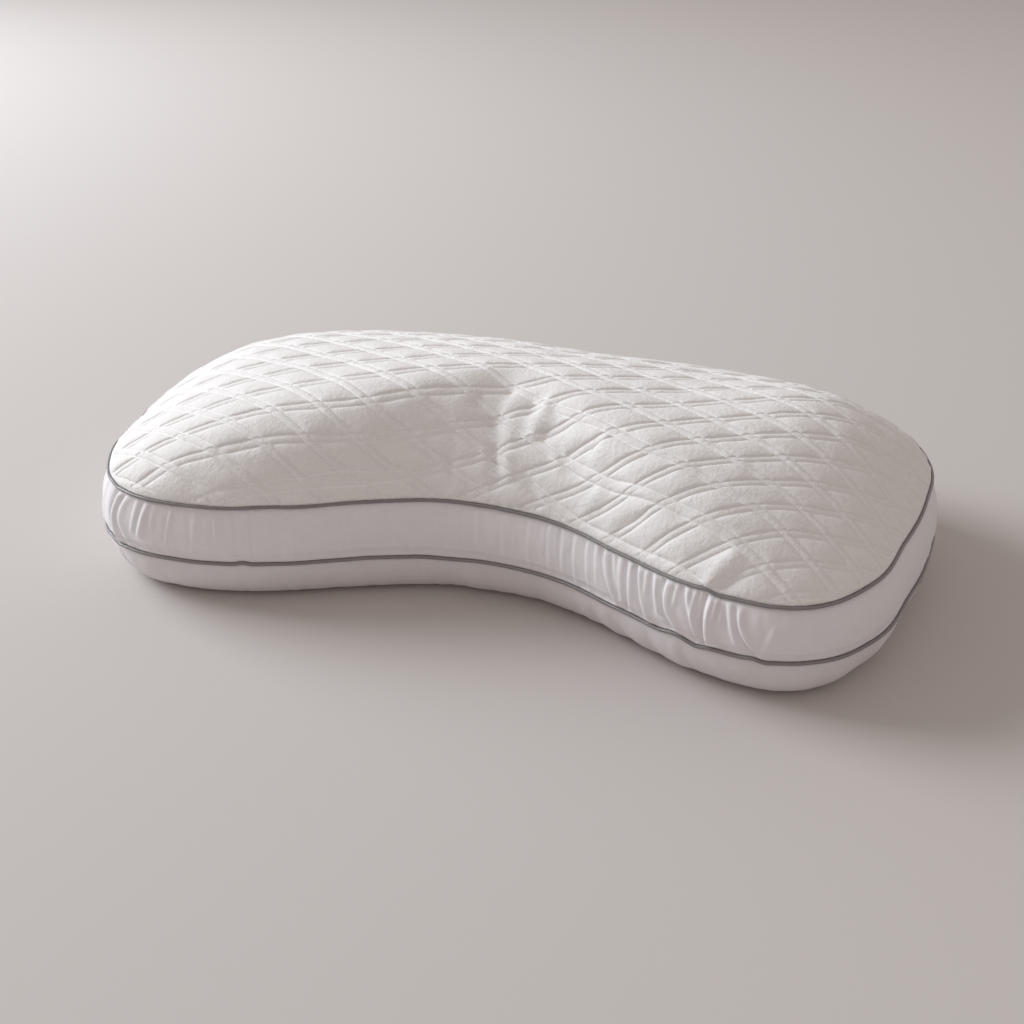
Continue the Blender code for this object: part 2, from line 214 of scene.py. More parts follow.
@dataclass(frozen=True)
class Pull:
    """A place where the sewn lines were pulled aside as the cloth was stretched over the filling.

    Args:
        place: Middle of the place, measured on the flat cloth.
        shift: How far the lines are moved there.
        reach: Distance over which this fades.
    """

    place: tuple[float, float]
    shift: tuple[float, float]
    reach: float


@dataclass(frozen=True)
class Unevenness:
    """Smooth, seeded unevenness, the sum of waves in many directions.

    Args:
        wavelength: Mean length of a wave.
        seed: Picks the directions and phases.
        height: Height of the sum.
        fade: Distance from a cloth's edge over which it fades, where its piece makes it fade.
        waves: How many waves are summed.
    """

    wavelength: float
    seed: int
    height: float = 1.0
    fade: float = 0.01
    waves: int = 24

    def at(self, places: np.ndarray) -> np.ndarray:
        """Return a value, mostly from -height to height, at each place.

        Args:
            places: Coordinates, one place in each row.

        Returns:
            One value for each place.
        """
        picker = np.random.default_rng(self.seed)
        ways = picker.normal(size=(self.waves, places.shape[-1]))
        ways /= np.linalg.norm(ways, axis=1)[:, None]
        lengths = self.wavelength * picker.uniform(0.7, 1.6, self.waves)
        phases = picker.uniform(0.0, math.tau, self.waves)
        total = np.zeros(places.shape[:-1])
        for way, length, phase in zip(ways, lengths, phases):
            total += np.sin(places @ way * (math.tau / length) + phase)
        return total * (self.height / math.sqrt(2.0 * self.waves))


def bell(away: np.ndarray | float) -> np.ndarray:
    """Return 1 at nought and a smooth fall to 0 on both sides, with away in half widths."""
    return np.exp(-(away**2))


def smooth_step(value: np.ndarray | float) -> np.ndarray:
    """Return 0 below 0, 1 above 1 and a smooth rise between."""
    held = np.clip(value, 0.0, 1.0)
    return held * held * (3.0 - 2.0 * held)


def seam_rise(angle: np.ndarray) -> np.ndarray:
    """Return how far the upper seam rises above its mean height in each direction.

    Args:
        angle: Directions from the middle, in radians.

    Returns:
        One rise for each direction.
    """
    rises = np.array(SEAM_WAVE)
    count = len(rises)
    place = (np.asarray(angle) % math.tau) / math.tau * count
    first = np.floor(place).astype(int)
    share = place - first
    before, start, end, after = (rises[(first + step) % count] for step in (-1, 0, 1, 2))
    bend = 2.0 * before - 5.0 * start + 4.0 * end - after
    turn = 3.0 * (start - end) + after - before
    return start + 0.5 * share * (end - before + share * (bend + share * turn))


class SeamOutline:
    """The upper seam seen from above, walked counterclockwise from the right end."""

    def __init__(self, stations: int) -> None:
        """Lay out even stations along the seam.

        Args:
            stations: How many.
        """
        self.stations = stations
        run = self._curve()
        closed = np.vstack([run, run[:1]])
        steps = np.linalg.norm(np.diff(closed, axis=0), axis=1)
        along = np.concatenate([[0.0], np.cumsum(steps)])
        self.length = float(along[-1])
        self.places = np.linspace(0.0, self.length, stations + 1)[:-1]
        self.points = np.stack([np.interp(self.places, along, closed[:, axis]) for axis in (0, 1)], axis=1)
        ways = np.roll(self.points, -1, axis=0) - np.roll(self.points, 1, axis=0)
        ways /= np.linalg.norm(ways, axis=1)[:, None]
        self.normals = np.stack([ways[:, 1], -ways[:, 0]], axis=1)
        self.angles = np.arctan2(self.points[:, 1], self.points[:, 0]) % math.tau

    @staticmethod
    def _curve() -> np.ndarray:
        """Return the seam as a fine closed run of points, from a smooth Bezier curve."""
        curve = bpy.data.curves.new("seam_guide", "CURVE")
        curve.dimensions = "2D"
        curve.resolution_u = CURVE_STEPS
        spline = curve.splines.new("BEZIER")
        spline.bezier_points.add(len(SEAM_KNOTS) - 1)
        for knot, (x, y) in zip(spline.bezier_points, SEAM_KNOTS):
            knot.co = (x, y, 0.0)
            knot.handle_left_type = "AUTO"
            knot.handle_right_type = "AUTO"
        spline.use_cyclic_u = True
        guide = bpy.data.objects.new("seam_guide", curve)
        bpy.context.scene.collection.objects.link(guide)
        bpy.context.view_layer.update()
        mesh = bpy.data.meshes.new_from_object(guide.evaluated_get(bpy.context.evaluated_depsgraph_get()))
        points = np.array([vertex.co[:2] for vertex in mesh.vertices])
        bpy.data.objects.remove(guide, do_unlink=True)
        bpy.data.meshes.remove(mesh)
        return points

    def reach(self, angle: np.ndarray) -> np.ndarray:
        """Return the distance from the middle to the seam in each direction.

        Args:
            angle: Directions, in radians.

        Returns:
            One distance for each direction.
        """
        order = np.argsort(self.angles)
        angles = self.angles[order]
        reaches = np.linalg.norm(self.points, axis=1)[order]
        angles = np.concatenate([[angles[-1] - math.tau], angles, [angles[0] + math.tau]])
        reaches = np.concatenate([[reaches[-1]], reaches, [reaches[0]]])
        return np.interp(np.asarray(angle) % math.tau, angles, reaches)

    def ring(self, out: np.ndarray | float, height: np.ndarray | float) -> np.ndarray:
        """Return one closed row of points outside the seam.

        Args:
            out: Distance outside the seam, one number or one for each station.
            height: Height, one number or one for each station.

        Returns:
            The points, one in each row.
        """
        outs = np.broadcast_to(out, (self.stations,))
        flat = self.points + self.normals * outs[:, None]
        return np.column_stack([flat, np.broadcast_to(height, (self.stations,))])


@dataclass(frozen=True)
class SeamLines:
    """Heights of the two seams, with the kinks that sewing left in them.

    Args:
        upper: Mean height of the upper seam.
        lower: Mean height of the lower seam.
        spread: How far the lower seam lies outside the upper one.
        sway: How far either seam wanders.
        upper_kinks: Kinks of the upper seam.
        lower_kinks: Kinks of the lower seam.
    """

    upper: float = 0.0888
    lower: float = 0.0400
    spread: float = 0.0078
    sway: float = 0.00045
    upper_kinks: tuple[Kink, ...] = (
        Kink(1.118, 0.0010, 0.005),
        Kink(1.131, -0.0009, 0.005),
        Kink(1.650, 0.0009, 0.006),
        Kink(1.664, -0.0008, 0.006),
    )
    lower_kinks: tuple[Kink, ...] = (
        Kink(1.122, 0.0014, 0.005),
        Kink(1.137, -0.0012, 0.006),
        Kink(1.247, 0.0014, 0.005),
        Kink(1.632, 0.0021, 0.009),
        Kink(1.650, -0.0016, 0.007),
        Kink(1.692, 0.0008, 0.005),
        Kink(1.701, -0.0009, 0.005),
    )

    def _kinked(self, outline: SeamOutline, kinks: tuple[Kink, ...], seed: int) -> np.ndarray:
        """Return the rise of a seam's kinks and sway at each station."""
        rise = Unevenness(0.055, seed, height=self.sway).at(outline.points)
        for kink in kinks:
            rise = rise + kink.rise * bell((outline.places - kink.place) / kink.width)
        return rise

    def upper_height(self, outline: SeamOutline) -> np.ndarray:
        """Return the upper seam's height at each station."""
        return self.upper + seam_rise(outline.angles) + self._kinked(outline, self.upper_kinks, 3)

    def lower_height(self, outline: SeamOutline) -> np.ndarray:
        """Return the lower seam's height at each station."""
        return self.lower + self._kinked(outline, self.lower_kinks, 4)


@dataclass(frozen=True)
class Crown:
    """The filled crown that the quilted cloth is stretched over.

    Args:
        base: Height of the quilted cloth's edge where the seam is at its mean height.
        inset: How far that edge lies inside the seam.
        rise: Height of the crown above its edge.
        power: How full the crown is towards its edge.
        roundness: How steeply it leaves its edge.
        lean: How much higher it is to the front, at lean_depth.
        lean_depth: Distance over which it leans.
        lobes: Broad swellings.
        valley_direction: Direction of the valley at the waist, in degrees.
        valley_width: Half of its width.
        valley_depth: Its depth.
        valley_start: Share of the way to the seam where it starts.
    """

    base: float = SeamLines.upper + EDGE_GAP
    inset: float = EDGE_INSET
    rise: float = 0.0765
    power: float = 2.1
    roundness: float = 1.19
    lean: float = 0.30
    lean_depth: float = 0.20
    lobes: tuple[Lobe, ...] = (
        Lobe(x=-0.313, y=0.008, swell=0.36, reach=0.11),
        Lobe(x=0.313, y=0.008, swell=0.95, reach=0.11),
    )
    valley_direction: float = 266.0
    valley_width: float = 0.017
    valley_depth: float = 0.005
    valley_start: float = 0.15

    def point(self, outline: SeamOutline, share: np.ndarray, angle: np.ndarray) -> np.ndarray:
        """Return points on the crown.

        Args:
            outline: The seam.
            share: Share of the way from the middle to the seam.
            angle: Direction from the middle, in radians.

        Returns:
            The points, with x, y and z on the last axis.
        """
        reach = outline.reach(angle) - self.inset
        x = share * reach * np.cos(angle)
        y = share * reach * np.sin(angle)
        rise = self.rise * np.maximum(1.0 - share**self.power, 0.0) ** (1.0 / self.roundness)
        swell = np.ones_like(rise)
        for lobe in self.lobes:
            swell = swell + lobe.swell * bell(np.hypot(x - lobe.x, y - lobe.y) / lobe.reach)
        rise = rise * swell * (1.0 - self.lean * y / self.lean_depth)
        turn = angle - math.radians(self.valley_direction)
        aside = share * reach * np.sin(turn) / self.valley_width
        past = np.clip((share - self.valley_start) / (1.0 - self.valley_start), 0.0, 1.0)
        ahead = np.where(np.cos(turn) > 0.0, np.sin(math.pi * past), 0.0)
        valley = self.valley_depth * ahead * bell(aside)
        return np.stack([x, y, self.base + seam_rise(angle) * share + rise - valley], axis=-1)


class FlatCloth:
    """The quilted top laid flat: its cloth measured from the crown's middle in each direction."""

    def __init__(
        self,
        outline: SeamOutline,
        crown: Crown,
        directions: int = 1440,
        steps: int = 240,
    ) -> None:
        """Measure the cloth along the crown.

        Args:
            outline: The seam.
            crown: The crown that the cloth lies on.
            directions: How many directions are measured.
            steps: How many places along each.
        """
        angles = np.linspace(0.0, math.tau, directions, endpoint=False)
        # Closer together towards the edge, where the crown is steep
        shares = 1.0 - (1.0 - np.linspace(0.0, 1.0, steps)) ** 1.6
        points = crown.point(outline, shares[None, :], angles[:, None])
        runs = np.linalg.norm(np.diff(points, axis=1), axis=2)
        lengths = np.concatenate([np.zeros((directions, 1)), np.cumsum(runs, axis=1)], axis=1)
        self.directions = directions
        self.steps = steps
        self.full = lengths[:, -1]
        fractions = np.linspace(0.0, 1.0, steps)
        self.shares = np.stack([np.interp(fractions, run / run[-1], shares) for run in lengths])

    def edge(self, angle: np.ndarray) -> np.ndarray:
        """Return the length of cloth from the middle to the edge in each direction."""
        place = (angle % math.tau) / math.tau * self.directions
        first = np.floor(place).astype(int)
        part = place - first
        ahead = self.full[(first + 1) % self.directions]
        return self.full[first % self.directions] * (1.0 - part) + ahead * part

    def share(self, flat: np.ndarray) -> tuple[np.ndarray, np.ndarray]:
        """Return where places on the flat cloth lie on the crown.

        Args:
            flat: Flat places, one in each row.

        Returns:
            The share of the way to the seam and the direction, for each place.
        """
        angle = np.arctan2(flat[:, 1], flat[:, 0]) % math.tau
        fraction = np.clip(np.linalg.norm(flat, axis=1) / self.edge(angle), 0.0, 1.0)
        place = angle / math.tau * self.directions
        row = np.floor(place).astype(int)
        turn = place - row
        step = fraction * (self.steps - 1)
        column = np.minimum(np.floor(step).astype(int), self.steps - 2)
        part = step - column
        here, ahead = self.shares[row % self.directions], self.shares[(row + 1) % self.directions]
        picks = np.arange(len(flat))
        near = here[picks, column] * (1.0 - part) + here[picks, column + 1] * part
        far = ahead[picks, column] * (1.0 - part) + ahead[picks, column + 1] * part
        return near * (1.0 - turn) + far * turn, angle


# Distances from a line's middle at which the mesh has rows of points, closest at its grooves
ROWS_BESIDE_LINE = (0.0017, 0.0025, 0.0029, 0.0033, 0.0037, 0.0042, 0.0053, 0.0073, 0.0100)


@dataclass(frozen=True)
class QuiltPattern:
    """Two crossing families of sewn channels, each a pair of stitched grooves with a ridge between.

    Args:
        start: Flat place of the crossing that the lines are counted from.
        rising: Flat step along a rising line from one crossing to the next.
        falling: Flat step along a falling line.
        rising_ease: How the cloth's easing bends the lattice, for a rising step squared.
        crossed_ease: The same for a rising step times a falling one.
        falling_ease: The same for a falling step squared.
        rising_lines: First and last falling line that the cloth reaches, counted along rising ones.
        falling_lines: First and last rising line, counted along falling ones.
        half_channel: Distance of each groove from the middle of its channel.
        groove_width: Half of a groove's width.
        rising_depth: Depth of the grooves of the rising lines.
        falling_depth: Depth of the grooves of the falling lines.
        rising_ridge: Height of the ridge between two grooves of a rising line.
        falling_ridge: The same for a falling line.
        crossing_share: Share of a rising line's depth that is left where a falling line crosses it.
        crossing_edge: How soon that share is reached from a falling line's edge.
        puff: Height of the cells' filling.
        puff_run: Distance over which a cell rises from its groove.
        overhang: How much further a cell stands out above a rising line than below it.
        lip_start: Distance over which that lip rises from its groove.
        lip_run: Distance over which it fades into the cell.
        pulls: Places where the lines are pulled aside.
    """

    start: tuple[float, float] = (-0.1411, -0.1126)
    rising: tuple[float, float] = (0.0362, 0.0161)
    falling: tuple[float, float] = (0.0365, -0.0162)
    rising_ease: tuple[float, float] = (0.0, 0.00018)
    crossed_ease: tuple[float, float] = (-0.00044, 0.0)
    falling_ease: tuple[float, float] = (-0.00045, 0.00034)
    rising_lines: tuple[int, int] = (-7, 15)
    falling_lines: tuple[int, int] = (-11, 12)
    half_channel: float = 0.0033
    groove_width: float = 0.00085
    rising_depth: float = 0.00062
    falling_depth: float = 0.00100
    rising_ridge: float = 0.00035
    falling_ridge: float = 0.00085
    crossing_share: float = 0.65
    crossing_edge: float = 2.5
    puff: float = 0.0018
    puff_run: float = 0.0040
    overhang: float = 0.0005
    lip_start: float = 0.0012
    lip_run: float = 0.004
    pulls: tuple[Pull, ...] = (
        Pull((-0.112, -0.114), (0.003, -0.010), 0.050),
        Pull((-0.100, -0.160), (-0.008, 0.006), 0.036),
        Pull((-0.245, -0.185), (-0.006, 0.001), 0.040),
        Pull((0.070, -0.030), (-0.003, -0.003), 0.040),
        Pull((0.115, -0.105), (0.001, -0.005), 0.035),
        Pull((0.240, -0.150), (0.002, 0.005), 0.040),
    )

    def flat(self, u: np.ndarray, v: np.ndarray) -> np.ndarray:
        """Return the flat place of lattice numbers u, along rising lines, and v, along falling ones."""
        steps = (self.rising, self.falling, self.rising_ease, self.crossed_ease, self.falling_ease)
        return np.array(self.start) + np.stack([u, v, u * u, u * v, v * v], axis=-1) @ np.array(steps)

    def numbers(self, flat: np.ndarray) -> np.ndarray:
        """Return the lattice numbers of flat places, one pair in each row, by Newton's method."""
        basis = np.array([self.rising, self.falling])
        found = np.linalg.solve(basis.T, (flat - np.array(self.start)).T).T
        for _ in range(8):
            u, v = found[:, 0], found[:, 1]
            step_u = basis[0] + np.outer(2.0 * u, self.rising_ease) + np.outer(v, self.crossed_ease)
            step_v = basis[1] + np.outer(u, self.crossed_ease) + np.outer(2.0 * v, self.falling_ease)
            off = flat - self.flat(u, v)
            found = found + np.linalg.solve(np.stack([step_u, step_v], axis=-1), off[..., None])[..., 0]
        return found

    def spacings(self) -> tuple[float, float]:
        """Return the distance between neighbouring falling lines and between rising lines."""
        cell = abs(self.rising[0] * self.falling[1] - self.rising[1] * self.falling[0])
        return cell / math.hypot(*self.falling), cell / math.hypot(*self.rising)

    @staticmethod
    def rows(spacing: float, lines: tuple[int, int]) -> np.ndarray:
        """Return places across one family, in steps, closest together at its grooves.

        Args:
            spacing: Distance between two lines of the family.
            lines: The first and last line.

        Returns:
            The places, in rising order.
        """
        offsets = [0.0, 0.5]
        for distance in ROWS_BESIDE_LINE:
            offsets.extend((distance / spacing, -distance / spacing))
        counts = np.arange(lines[0], lines[1] + 1)
        return np.unique(np.round((counts[:, None] + np.array(offsets)[None, :]).ravel(), 9))

    def relief(self, numbers: np.ndarray) -> np.ndarray:
        """Return how far the cloth stands out at lattice numbers.

        Args:
            numbers: Lattice numbers, one pair in each row.

        Returns:
            One height for each pair.
        """
        spacing_u, spacing_v = self.spacings()
        away = numbers - np.round(numbers)
        from_falling = np.abs(away[:, 0]) * spacing_u
        from_rising = np.abs(away[:, 1]) * spacing_v
        groove_u, band_u, cell_u = self._section(from_falling)
        groove_v, band_v, cell_v = self._section(from_rising)
        crossed = 1.0 - (1.0 - self.crossing_share) * smooth_step(self.crossing_edge * band_u)
        groove = np.maximum(self.falling_depth * groove_u, self.rising_depth * crossed * groove_v)
        ridge = np.maximum(self.falling_ridge * band_u, self.rising_ridge * band_v)
        beyond = from_rising - self.half_channel
        above = np.where(away[:, 1] < 0.0, 1.0, 0.0) * smooth_step(beyond / self.lip_start)
        lip = self.overhang * above * np.exp(-np.maximum(beyond, 0.0) / self.lip_run)
        return self.puff * cell_u * cell_v + ridge + lip - groove

    def _section(self, distance: np.ndarray) -> tuple[np.ndarray, np.ndarray, np.ndarray]:
        """Return the strength of a channel's groove, ridge and cell at distances from its middle."""
        groove = bell((distance - self.half_channel) / self.groove_width)
        ridge = np.maximum(1.0 - (distance / self.half_channel) ** 2, 0.0)
        cell = 1.0 - np.exp(-np.maximum(distance - self.half_channel, 0.0) / self.puff_run)
        return groove, ridge, cell

    def pulled(self, flat: np.ndarray) -> np.ndarray:
        """Return how far the lines are pulled aside at flat places, one shift in each row."""
        moved = np.zeros_like(flat)
        for pull in self.pulls:
            away = np.linalg.norm(flat - np.array(pull.place), axis=-1) / pull.reach
            moved += bell(away)[..., None] * np.array(pull.shift)
        return moved


def mesh_piece(name: str, points: np.ndarray, faces: list[list[int]]) -> bpy.types.Object:
    """Make an object from points and faces, on the pillow's box middle, with faces turned outwards.

    Args:
        name: Name of the object.
        points: Points about the middle of the seam's knots, one in each row.
        faces: Corners of each face.

    Returns:
        The new object.
    """
    shift = np.array([*MIDDLE_SHIFT, 0.0])
    mesh = bpy.data.meshes.new(name)
    mesh.from_pydata((points + shift).tolist(), [], faces)
    face_outwards(mesh)
    piece = bpy.data.objects.new(name, mesh)
    bpy.context.scene.collection.objects.link(piece)
    return piece


def face_outwards(mesh: bpy.types.Mesh) -> None:
    """Recalculate the normals of a closed mesh to point out."""
    work = bmesh.new()
    work.from_mesh(mesh)
    bmesh.ops.recalc_face_normals(work, faces=work.faces)
    if work.calc_volume(signed=True) < 0.0:
        bmesh.ops.reverse_faces(work, faces=work.faces)
    work.to_mesh(mesh)
    work.free()


def corner_points(mesh: bpy.types.Mesh) -> np.ndarray:
    """Return the number of the point at each corner of each face."""
    corners = np.empty(len(mesh.loops), dtype=np.int32)
    mesh.loops.foreach_get("vertex_index", corners)
    return corners


def give_map(mesh: bpy.types.Mesh, name: str, coordinates: np.ndarray) -> None:
    """Give a mesh a UV map from one pair of coordinates for each vertex.

    Args:
        mesh: The mesh.
        name: Name of the map.
        coordinates: One pair for each vertex.
    """
    layer = mesh.uv_layers.new(name=name)
    layer.data.foreach_set("uv", coordinates[corner_points(mesh)].astype(np.float32).ravel())


def ring_faces(start: int, after: int, stations: int) -> list[list[int]]:
    """Return the faces between two closed rows of points.

    Args:
        start: Number of the first row's first point.
        after: Number of the second row's first point.
        stations: Points in each row.

    Returns:
        The corners of each face.
    """
    here = np.arange(stations)
    ahead = (here + 1) % stations
    return np.column_stack([start + here, start + ahead, after + ahead, after + here]).tolist()


def band_piece(name: str, rows: list[np.ndarray], length: float, girth: float) -> bpy.types.Object:
    """Make a closed band from rows of points that run along the seam, joined round its section.

    Its UV map runs along the band and round the section, in metres.

    Args:
        name: Name of the object.
        rows: Closed rows of points, in order round the section.
        length: Length of the band.
        girth: Length round its section.

    Returns:
        The new object.
    """
    stations = len(rows[0])
    count = len(rows)
    faces = []
    for row in range(count):
        faces += ring_faces(row * stations, (row + 1) % count * stations, stations)
    band = mesh_piece(name, np.vstack(rows), faces)
    corners = corner_points(band.data)
    along = (corners % stations) / stations
    beside = (corners // stations) / count
    for values in (along, beside):
        quads = values.reshape(-1, 4)
        quads[(quads.max(axis=1, keepdims=True) - quads) > 0.5] += 1.0
    layer = band.data.uv_layers.new(name="cloth")
    metres = np.column_stack([along * length, beside * girth])
    layer.data.foreach_set("uv", metres.astype(np.float32).ravel())
    return band


WAIST_CREASES = (
    Crease((-0.0060, -0.0780), (0.0140, -0.1400), 0.0055, -0.0050),
    Crease((0.0110, -0.0850), (0.0260, -0.1330), 0.0046, 0.0016),
    Crease((-0.0360, -0.0960), (-0.0310, -0.1500), 0.0059, -0.0019),
    Crease((-0.0200, -0.0560), (-0.0240, -0.0820), 0.0038, -0.0016),
    Crease((0.0100, -0.0520), (0.0055, -0.0700), 0.0030, 0.0019),
    Crease((0.0030, -0.0440), (-0.0060, -0.0720), 0.0034, -0.0019),
    Crease((0.0240, -0.0520), (0.0230, -0.0960), 0.0050, -0.0024),
    Crease((0.0385, -0.0500), (0.0350, -0.0940), 0.0051, 0.0024),
    Crease((0.0460, -0.0760), (0.0440, -0.1000), 0.0038, -0.0016),
    Crease((0.0690, -0.0860), (0.0690, -0.1060), 0.0021, 0.0016),
    Crease((0.0520, -0.0940), (0.0700, -0.1180), 0.0043, 0.0016),
    Crease((0.0330, -0.1180), (0.0610, -0.1420), 0.0043, -0.0018),
    Crease((0.0900, -0.0980), (0.0885, -0.1160), 0.0030, -0.0018),
    Crease((0.0985, -0.0960), (0.0940, -0.1160), 0.0038, 0.0024),
    Crease((0.1070, -0.1300), (0.1050, -0.1470), 0.0034, 0.0022),
    Crease((0.1000, -0.1290), (0.0980, -0.1440), 0.0030, -0.0016),
    Crease((0.1310, -0.1550), (0.1510, -0.1545), 0.0026, -0.0024),
    Crease((0.2110, -0.2010), (0.2260, -0.1720), 0.0059, 0.0035),
    Crease((0.2240, -0.2010), (0.2340, -0.1840), 0.0043, -0.0019),
)


@dataclass
class QuiltedTop:
    """The quilted top panel with the filling that it holds.

    Attributes:
        outline: The seam, at this panel's own stations.
        seams: Heights of the seams.
        crown: Shape of the crown.
        pattern: The quilting.
        edge_margin: Width of the plain collar between the quilting's mesh and the seam.
        collar: Distances from the edge of the collar's rows.
        wander: How the sewn lines wander, along and across the pillow.
        wander_fade: Distance from the edge where this starts, and over which it rises.
        pull_fade: The same for the pattern's pulls.
        draw_in: How far the filling is drawn in behind each seam.
        gusset_inset: Distance of the filling behind the gusset's outer face.
        under_inset: Distance of the filling behind the under panel's outer face.
        creases: Wrinkles at the waist and on the lobes.
        strength: How unevenly the quilting is stuffed.
        ripples: Unevenness of the cloth.
        tightening: Small puckers along the seam.
        pucker_run: Distance over which they fade away from the seam.
        quilt_fade: Distance from the edge over which the quilting rises.
        crease_fade: Distance from the edge over which the creases rise.
    """

    outline: SeamOutline
    seams: SeamLines
    crown: Crown = field(default_factory=Crown)
    pattern: QuiltPattern = field(default_factory=QuiltPattern)
    edge_margin: float = 0.0036
    collar: tuple[float, ...] = (0.0023, 0.0011)
    wander: tuple[Unevenness, Unevenness] = (
        Unevenness(0.075, 11, height=0.0009),
        Unevenness(0.075, 12, height=0.0009),
    )
    wander_fade: tuple[float, float] = (0.012, 0.02)
    pull_fade: tuple[float, float] = (0.004, 0.03)
    draw_in: float = 0.0045
    gusset_inset: float = 0.0026
    under_inset: float = 0.0030
    creases: tuple[Crease, ...] = WAIST_CREASES
    strength: Unevenness = Unevenness(0.16, 21, height=0.16)
    ripples: tuple[Unevenness, ...] = (
        Unevenness(0.042, 22, height=0.00040, fade=0.010),
        Unevenness(0.013, 23, height=0.00026, fade=0.006),
    )
    tightening: Unevenness = Unevenness(0.016, 24, height=0.0005, fade=0.0030)
    pucker_run: float = 0.007
    quilt_fade: float = 0.0034
    crease_fade: float = 0.006

    def build(self) -> bpy.types.Object:
        """Build the panel and its filling as one closed mesh.

        Returns:
            The new object.
        """
        cloth = FlatCloth(self.outline, self.crown)
        flat, numbers, quads, border = self._quilting(cloth)
        collar, triangles = self._collar(cloth, flat, numbers, quads, border)
        places = np.vstack([flat, collar])
        share, angle = cloth.share(places)
        rim = len(places) - self.outline.stations
        share[rim:] = 1.0
        angle[rim:] = self.outline.angles
        points = self.crown.point(self.outline, share, angle)
        edge_rise = self.seams.upper_height(self.outline) - self.seams.upper
        points[rim:, 2] += edge_rise - seam_rise(self.outline.angles)
        sides, side_faces = self._sides(rim)
        faces = quads.tolist() + triangles + side_faces
        piece = mesh_piece("quilted_top", np.vstack([points, sides]), faces)
        lattice = self.pattern.numbers(places)
        lattice[: len(numbers)] = numbers
        self._lift(piece.data, self._relief(cloth, places, angle, lattice))
        below = np.tile(lattice[rim:], (len(sides) // self.outline.stations, 1))
        give_map(piece.data, "quilting", np.vstack([lattice, below]))
        return piece

    def _quilting(self, cloth: FlatCloth) -> tuple[np.ndarray, np.ndarray, np.ndarray, np.ndarray]:
        """Return the quilting's flat places, their lattice numbers, the faces and the border's edges."""
        spacing_u, spacing_v = self.pattern.spacings()
        rows_u = self.pattern.rows(spacing_u, self.pattern.rising_lines)
        rows_v = self.pattern.rows(spacing_v, self.pattern.falling_lines)
        u, v = np.meshgrid(rows_u, rows_v, indexing="ij")
        flat = self.pattern.flat(u, v)
        angle = np.arctan2(flat[..., 1], flat[..., 0])
        room = cloth.edge(angle) - np.linalg.norm(flat, axis=-1)
        inside = room > self.edge_margin
        whole = inside[:-1, :-1] & inside[1:, :-1] & inside[:-1, 1:] & inside[1:, 1:]
        used = np.zeros_like(inside)
        for across in (slice(None, -1), slice(1, None)):
            for along in (slice(None, -1), slice(1, None)):
                used[across, along] |= whole
        index = np.full(inside.shape, -1)
        index[used] = np.arange(np.count_nonzero(used))
        corners = (index[:-1, :-1], index[1:, :-1], index[1:, 1:], index[:-1, 1:])
        quads = np.stack(corners, axis=-1)[whole]
        laid = flat[used]
        shares = []
        for start, run in (self.wander_fade, self.pull_fade):
            shares.append(smooth_step((room[used] - start) / run)[:, None])
        moved = laid + np.column_stack([wander.at(laid) for wander in self.wander]) * shares[0]
        moved += self.pattern.pulled(laid) * shares[1]
        return moved, np.column_stack([u[used], v[used]]), quads, self._border(index, whole)

    @staticmethod
    def _border(index: np.ndarray, whole: np.ndarray) -> np.ndarray:
        """Return the edges that only one face of the grid uses."""
        padded = np.pad(whole, 1)
        along_u = padded[1:-1, 1:] != padded[1:-1, :-1]
        along_v = padded[1:, 1:-1] != padded[:-1, 1:-1]
        first = np.stack([index[:-1, :], index[1:, :]], axis=-1)[along_u]
        second = np.stack([index[:, :-1], index[:, 1:]], axis=-1)[along_v]
        return np.vstack([first, second])

    def _collar(
        self,
        cloth: FlatCloth,
        flat: np.ndarray,
        numbers: np.ndarray,
        quads: np.ndarray,
        border: np.ndarray,
    ) -> tuple[np.ndarray, list[list[int]]]:
        """Join the quilting's ragged border to the seam, the collar's last row, with triangles."""
        stations = self.outline.stations
        ways = np.column_stack([np.cos(self.outline.angles), np.sin(self.outline.angles)])
        edge = cloth.edge(self.outline.angles)
        collar = np.vstack([ways * (edge - inset)[:, None] for inset in (*self.collar, 0.0)])
        kept = np.unique(border)
        local = {int(old): new for new, old in enumerate(kept)}
        places = np.vstack([flat[kept], collar])
        rim = len(places) - stations
        edges = [(local[int(a)], local[int(b)]) for a, b in border]
        edges += [(rim + k, rim + (k + 1) % stations) for k in range(stations)]
        result = geometry.delaunay_2d_cdt([Vector(place) for place in places], edges, [], 0, 1e-7, True)
        sources = np.array([source[0] for source in result[3]])
        triangles = sources[np.array(result[2])]
        middles = places[triangles].mean(axis=1)
        angle = np.arctan2(middles[:, 1], middles[:, 0])
        inside = np.linalg.norm(middles, axis=1) < cloth.edge(angle)
        taken = self._covered(numbers, quads, self.pattern.numbers(middles))
        names = np.concatenate([kept, len(flat) + np.arange(len(collar))])
        return collar, names[triangles[inside & ~taken]].tolist()

    @staticmethod
    def _covered(numbers: np.ndarray, quads: np.ndarray, asked: np.ndarray) -> np.ndarray:
        """Tell which lattice numbers lie on a face of the quilting's grid."""
        rows_u = np.unique(numbers[:, 0])
        rows_v = np.unique(numbers[:, 1])
        lows = numbers[quads].min(axis=1)
        filled = np.zeros((len(rows_u) + 1, len(rows_v) + 1), dtype=bool)
        filled[np.searchsorted(rows_u, lows[:, 0]), np.searchsorted(rows_v, lows[:, 1])] = True
        column = np.searchsorted(rows_u, asked[:, 0], side="right") - 1
        row = np.searchsorted(rows_v, asked[:, 1], side="right") - 1
        known = (column >= 0) & (row >= 0)
        return known & filled[np.maximum(column, 0), np.maximum(row, 0)]

